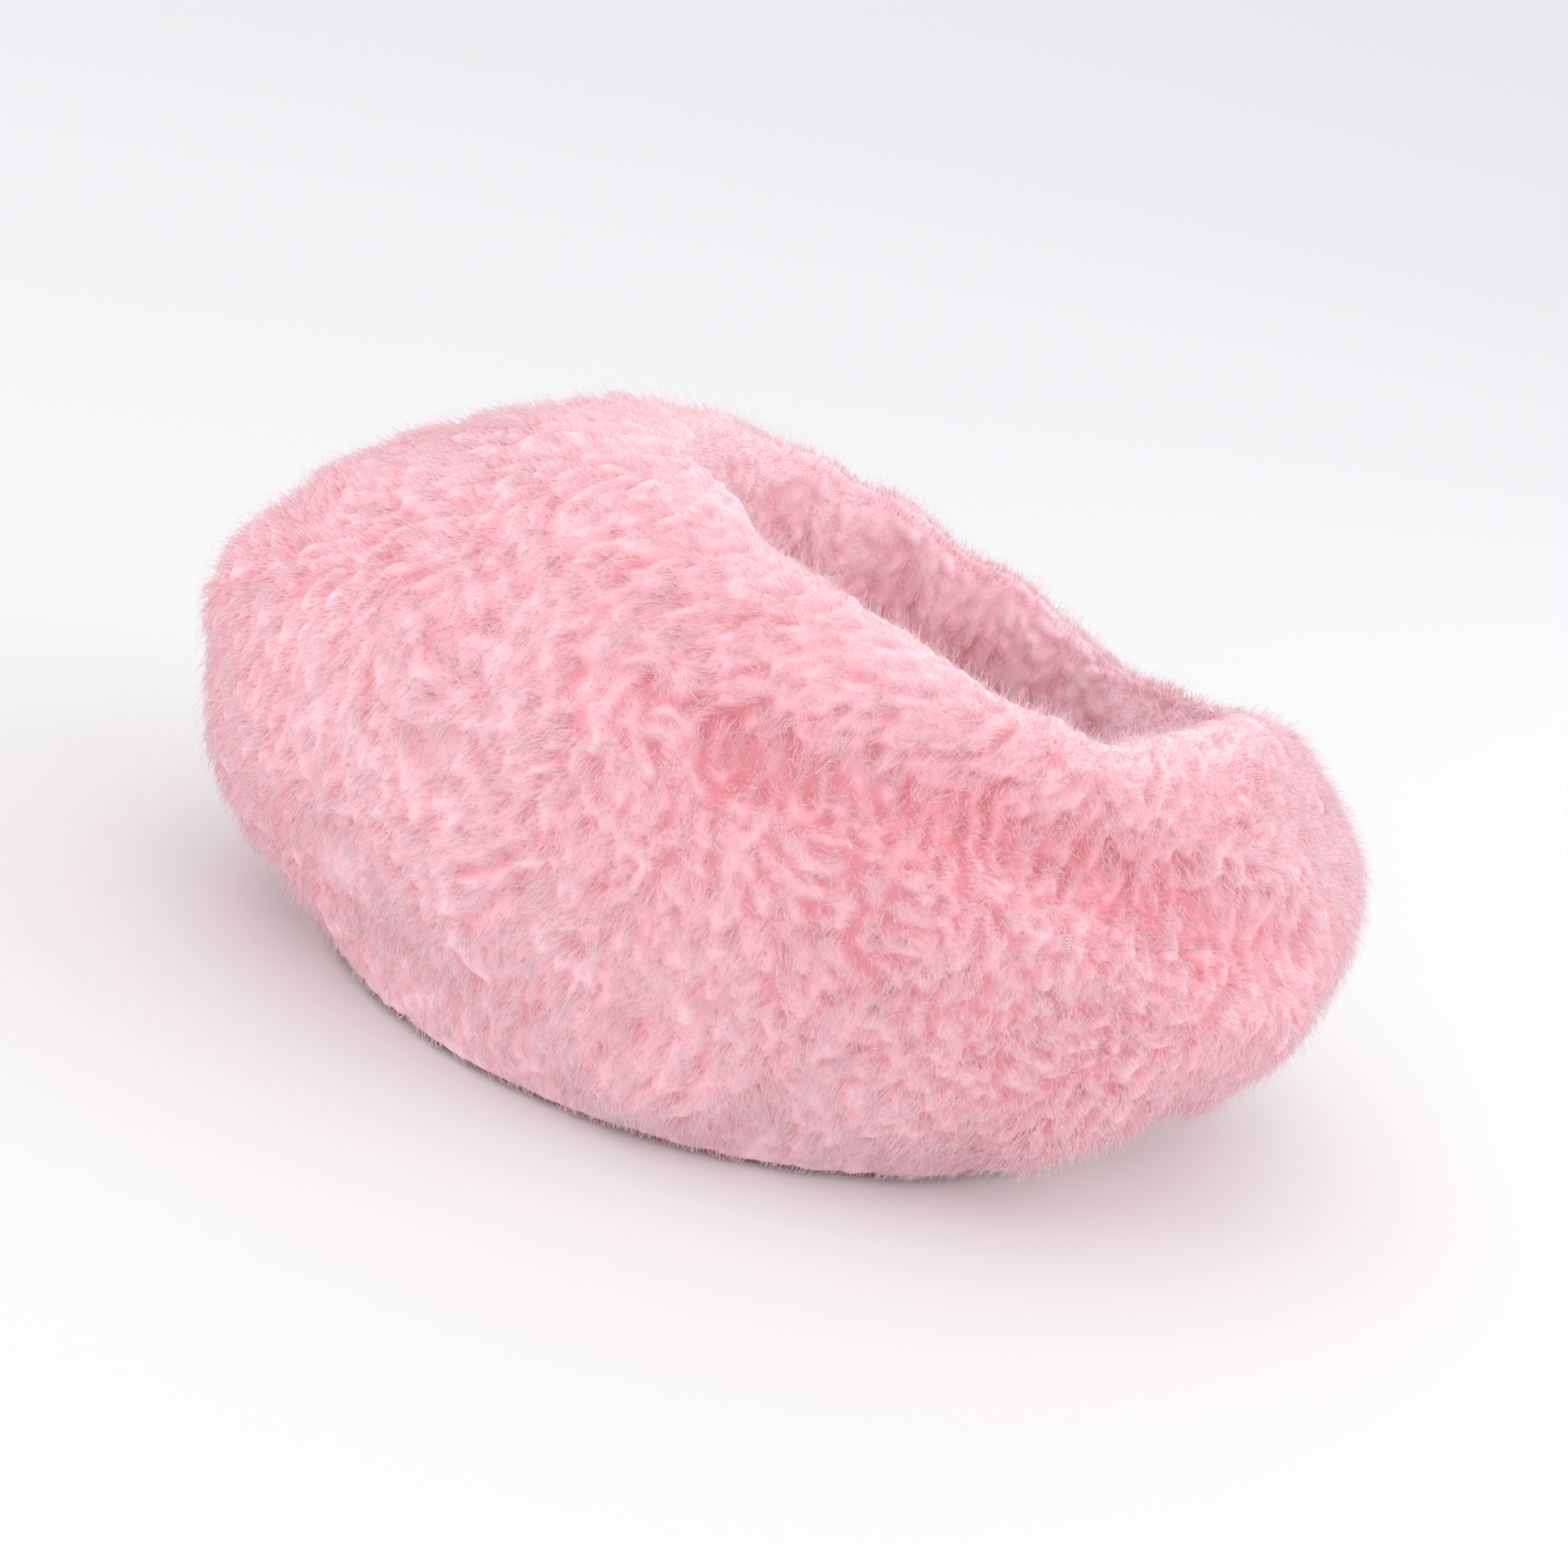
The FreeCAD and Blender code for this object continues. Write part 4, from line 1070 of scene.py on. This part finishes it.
def stitches(name, path, away, up, pitch, radius, replaced):
    """Row of separate stitches along a closed path: short, fat in the middle and sunk at both ends."""
    slant = 0.35
    arc = arc_of(path)
    count = int(arc[-1] / pitch)
    closed = np.concatenate([path, path[:1]])
    closed_away = np.concatenate([away, away[:1]])
    closed_up = np.concatenate([up, up[:1]])

    def read(table, distance):
        return np.stack([np.interp(distance % arc[-1], arc, table[:, k]) for k in range(3)], -1)

    rings, sides = 7, 6
    points = np.zeros((count, rings, sides, 3))
    starts = np.arange(count) * pitch
    for ring in range(rings):
        share = ring / (rings - 1)
        spot = starts + (share - 0.5) * pitch * 0.84
        hump = math.sin(math.pi * share)
        out = read(closed_away, spot)
        lift = read(closed_up, spot)
        middle = read(closed, spot) + out * (hump - 0.5) * radius * 1.2
        middle = middle + lift * (share - 0.5) * pitch * slant
        thick = radius * (0.35 + 0.65 * hump)
        for side in range(sides):
            swing = 2 * math.pi * side / sides
            points[:, ring, side] = middle + (out * math.cos(swing) + lift * math.sin(swing)) * thick
    faces = []
    for one in range(count):
        first = one * rings * sides
        faces.append(ring_faces(rings, sides, first))
        for base in (first, first + (rings - 1) * sides):
            faces.append(base + np.array([[0, 1, 2, 3], [3, 4, 5, 0]]))
    new_piece(name, points.reshape(-1, 3), np.concatenate(faces), SLOT_LOOKS["thread"], "thread", "bed",
              replaced)


SEAM_DEPTH = 14.8


def rim_stitches():
    columns = np.arange(0, COLUMNS, 1.0)
    row = np.full(COLUMNS, OUTER_SEAM * (ROWS - 1))
    out = unit(read_grid(OUT, row, columns))
    path = read_grid(PLAIN, row, columns) - read_grid(PLAIN_OUT, row, columns) * SEAM_DEPTH * MM
    up = unit(read_grid(SKIN, row + 2, columns) - read_grid(SKIN, row - 2, columns))
    stitches("rim_stitches", path, out, up, 7 * MM, 0.7 * MM, ["rim_seam_thread"])


def base_stitches():
    path, away = oval_path(BASE[0] + 0.5, BASE[1] + 0.5, BASE[2], 4.2, 720)
    up = np.broadcast_to(np.array([0, 0, 1.0]), path.shape)
    stitches("base_stitches", path, away, up, 4.5 * MM, 0.5 * MM, ["base_seam_thread"])


rim_stitches()
base_stitches()


# ---------------------------------------------------------------- base

def bound_edge():
    """Rounded tape folded over the edge of the base, with a shallow dimple at every stitch."""
    profile = [(0.0, 0.5), (0.5, 0.1), (1.7, 0.0), (2.9, 0.1), (3.4, 0.6), (3.45, 2.6), (3.3, 4.7),
               (2.7, 5.25), (1.7, 5.3), (0.7, 5.2), (0.15, 4.6), (0.0, 2.6)]
    count = 960
    sections = []
    for inward, height in profile:
        place, away = oval_path(BASE[0], BASE[1], BASE[2], height, count)
        dimple = 0.18 * (1 + np.cos(np.arange(count) * 2 * math.pi * 192 / count)) * (height > 0.4)
        sections.append(place - away * ((inward + dimple * (inward < 1)) * MM)[:, None])
    closed_tube("base_tape", np.array(sections), SLOT_LOOKS["binding"], "binding", replaced=["base_binding"])


bound_edge()

QUILT = 22.0
CLOTH_RISE = 0.45
ZIP_LINE = 42
ZIP_HALF = 124
ZIP_CLEAR = 13


def quilt_lines(points):
    """Distance in metres to the nearest line of the base's diamond quilting."""
    size = QUILT * MM
    first = (points[:, 0] + points[:, 1]) / math.sqrt(2)
    second = (points[:, 0] - points[:, 1]) / math.sqrt(2)
    off = [np.abs((value / size) % 1 - 0.5) * size for value in (first, second)]
    return np.minimum(*off)


def quilted_panel(node, name):
    """Padded base cloth, sewn in diamonds, its puffs standing towards the floor."""
    piece = bpy.data.objects.new(name, NODES[node].data.copy())
    bpy.context.scene.collection.objects.link(piece)
    remesh = piece.modifiers.new("voxels", "REMESH")
    remesh.voxel_size = 1.5 * MM
    remesh.use_smooth_shade = True
    keep_evaluated(piece)
    points = np.zeros(len(piece.data.vertices) * 3, np.float32)
    piece.data.vertices.foreach_get("co", points)
    points = points.reshape(-1, 3)
    low = np.clip(1 - points[:, 2] / (2.5 * MM), 0, 1)
    sink = 1.5 * bell(quilt_lines(points), 2.6 * MM) + CLOTH_RISE
    points[:, 2] += low * sink * MM
    piece.data.vertices.foreach_set("co", points.astype(np.float32).ravel())
    piece.data.materials.clear()
    piece.data.materials.append(SLOT_LOOKS["base_cloth"])
    for polygon in piece.data.polygons:
        polygon.use_smooth = True
    piece.data.update()
    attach(piece, "bed")
    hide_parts(node)


quilted_panel("base_panel_front", "base_cloth_front")
quilted_panel("base_panel_rear", "base_cloth_rear")


def grip_dots():
    """Domed rubber dots on the puffs of the base cloth, which the bed stands on."""
    rows = [(2.0, CLOTH_RISE + 0.35), (1.9, 0.22), (1.4, 0.03), (0.5, 0.0)]
    sides = 14
    faces, points = [], []
    step = QUILT / math.sqrt(2)
    half_x, half_y = (int(-low / MM / step) + 1 for low in CAD_BOX[0][:2])
    for i in range(-half_x, half_x + 1):
        for j in range(-half_y, half_y + 1):
            x, y = i * step, j * step
            inside = math.hypot((x - BASE[2]) / (BASE[0] - 9), y / (BASE[1] - 9)) < 1
            by_zip = abs(x) < ZIP_HALF and abs(y - ZIP_LINE) < ZIP_CLEAR
            if not inside or by_zip or (i + j) % 2 == 0:
                continue
            first = len(points)
            for radius, height in rows:
                for side in range(sides):
                    swing = 2 * math.pi * side / sides
                    points.append((x + radius * math.cos(swing), y + radius * math.sin(swing), height))
            quads = ring_faces(len(rows), sides, first)
            last = first + (len(rows) - 1) * sides
            faces.append(np.concatenate([quads[:, [0, 1, 2]], quads[:, [0, 2, 3]]])[:, ::-1])
            faces.append(oval_cap(sides, last, True))
            faces.append(oval_cap(sides, first, False))
    new_piece("grip_dots", np.array(points) * MM, np.concatenate(faces), GRIP, "base_cloth")


grip_dots()


def slab(name, low, high, counts, lift, material, slot, replaced):
    """Thin closed strip between two corners, its faces raised by a function of place."""
    nx, ny = counts
    x, y = np.meshgrid(np.linspace(low[0], high[0], nx), np.linspace(low[1], high[1], ny), indexing="ij")
    bottom = np.stack([x, y, low[2] + lift(x, y, -1)], -1).reshape(-1, 3)
    top = np.stack([x, y, high[2] + lift(x, y, 1)], -1).reshape(-1, 3)
    i, j = np.meshgrid(np.arange(nx - 1), np.arange(ny - 1), indexing="ij")
    quad = np.stack([i * ny + j, (i + 1) * ny + j, (i + 1) * ny + j + 1, i * ny + j + 1], -1).reshape(-1, 4)
    rim = np.concatenate([np.arange(nx) * ny, (nx - 1) * ny + np.arange(1, ny),
                          np.arange(nx - 2, -1, -1) * ny + ny - 1, np.arange(ny - 2, 0, -1)])
    after = np.roll(rim, -1)
    size = nx * ny
    side = np.stack([rim, after, after + size, rim + size], -1)
    faces = np.concatenate([quad[:, ::-1], quad + size, side])
    return new_piece(name, np.concatenate([bottom, top]), faces, material, slot, "bed", replaced)


def zip_tapes():
    """Woven tapes with fine cross ribs."""
    for side in ("front", "rear"):
        low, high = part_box("zip_tape_" + side)

        def ribs(x, y, face):
            return face * 0.05 * MM * np.sin(x / (0.9 * MM) * 2 * math.pi) - 0.05 * MM * face

        slab("zip_cloth_" + side, low, high, (1200, 10), ribs, SLOT_LOOKS["zip_tape"], "zip_tape",
             ["zip_tape_" + side])


def blank_label():
    """Blank satin ribbon that is sewn into the base seam and sags a little where it leaves it."""
    low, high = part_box("care_label")

    def sag(x, y, face):
        out = (y - low[1]) / (high[1] - low[1])
        wave = 0.25 * np.sin((x - low[0]) / (high[0] - low[0]) * 2 * math.pi)
        return (-2.2 * out ** 2 + wave * out) * MM

    slab("care_ribbon", low, high, (48, 32), sag, SLOT_LOOKS["label"], "label", ["care_label"])


zip_tapes()
blank_label()


def sleeping_floor():
    """Cloth-covered board at the bottom of the nest, quilted and slightly crowned."""
    low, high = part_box("nest_floor")
    middle = (low + high) / 2
    half = (high - low) / 2
    rows, columns = 40, 160
    angle = np.linspace(0, 2 * math.pi, columns, endpoint=False)
    share = np.linspace(0.01, 1, rows)[:, None]
    edge = np.clip((1 - share) / 0.03, 0, 1) ** 0.5
    x = middle[0] + half[0] * share * np.cos(angle)
    y = middle[1] + half[1] * share * np.sin(angle)
    flat = np.stack([x, y], -1).reshape(-1, 2)
    dent = 0.6 * MM * bell(quilt_lines(np.c_[flat, flat[:, :1]]), 2 * MM).reshape(x.shape)
    top = np.stack([x, y, high[2] - 1.2 * MM * (1 - edge) - dent * edge], -1)
    bottom = np.stack([x, y, np.broadcast_to(low[2] + 0.6 * MM * (1 - edge), x.shape)], -1)
    grid = np.concatenate([top, bottom[::-1]])
    piece = new_piece("nest_floor_cloth", grid.reshape(-1, 3), capped_rings(2 * rows, columns, True),
                      SLOT_LOOKS["cushion_cloth"], "cushion_cloth", "bed", ["nest_floor"])


sleeping_floor()


# ---------------------------------------------------------------- camera, light and floor

ELEVATION = math.radians(22)
ROLL = math.radians(15.3)
PIVOT = Vector((0.017, 0, 0.100))
DISTANCE = 1.42
ASIDE = -0.0185


def view_axes():
    """Directions to the camera's back, right and up, after its roll."""
    back = Vector((0, -math.cos(ELEVATION), math.sin(ELEVATION)))
    level = Vector((1, 0, 0))
    upright = Vector((0, math.sin(ELEVATION), math.cos(ELEVATION)))
    right = level * math.cos(ROLL) + upright * math.sin(ROLL)
    up = upright * math.cos(ROLL) - level * math.sin(ROLL)
    return back, right, up


BACK, RIGHT, UP = view_axes()


def make_camera():
    data = bpy.data.cameras.new("camera")
    data.lens = 85
    data.sensor_width = 36
    camera = bpy.data.objects.new("camera", data)
    bpy.context.scene.collection.objects.link(camera)
    place = PIVOT + BACK * DISTANCE + RIGHT * ASIDE
    camera.matrix_world = Matrix((
        (RIGHT.x, UP.x, BACK.x, place.x),
        (RIGHT.y, UP.y, BACK.y, place.y),
        (RIGHT.z, UP.z, BACK.z, place.z),
        (0, 0, 0, 1)))
    bpy.context.scene.camera = camera


def soft_light(name, direction, distance, size, power):
    """Square area light that faces the bed from a direction."""
    data = bpy.data.lights.new(name, "AREA")
    data.size = size
    data.energy = power
    light = bpy.data.objects.new(name, data)
    bpy.context.scene.collection.objects.link(light)
    light.location = PIVOT + direction.normalized() * distance
    light.rotation_mode = "QUATERNION"
    light.rotation_quaternion = direction.to_track_quat("Z", "Y")


def make_floor():
    mesh = bpy.data.meshes.new("floor")
    half = 15.0
    mesh.from_pydata([(-half, -half, 0), (half, -half, 0), (half, half, 0), (-half, half, 0)], [],
                     [(0, 1, 2, 3)])
    look = new_material("floor", 0.9)
    look.shader.inputs["Base Color"].default_value = (0.79, 0.79, 0.793, 1)
    mesh.materials.append(look.material)
    floor = bpy.data.objects.new("floor", mesh)
    bpy.context.scene.collection.objects.link(floor)


def make_world():
    world = bpy.data.worlds.new("studio")
    world.use_nodes = True
    background = world.node_tree.nodes["Background"]
    background.inputs["Color"].default_value = (0.97, 0.975, 1.0, 1)
    background.inputs["Strength"].default_value = 1.03
    bpy.context.scene.world = world


make_camera()
make_floor()
make_world()
soft_light("top", UP + BACK * 0.45, 1.6, 1.3, 3)
soft_light("front", BACK - RIGHT * 0.35 - UP * 0.05, 1.9, 1.3, 5)
soft_light("left", -RIGHT + BACK * 0.2 + UP * 0.10, 1.7, 1.0, 9)
soft_light("right", RIGHT + BACK * 0.1 + UP * 0.10, 1.7, 1.0, 9)
bpy.context.scene.view_settings.view_transform = "Standard"
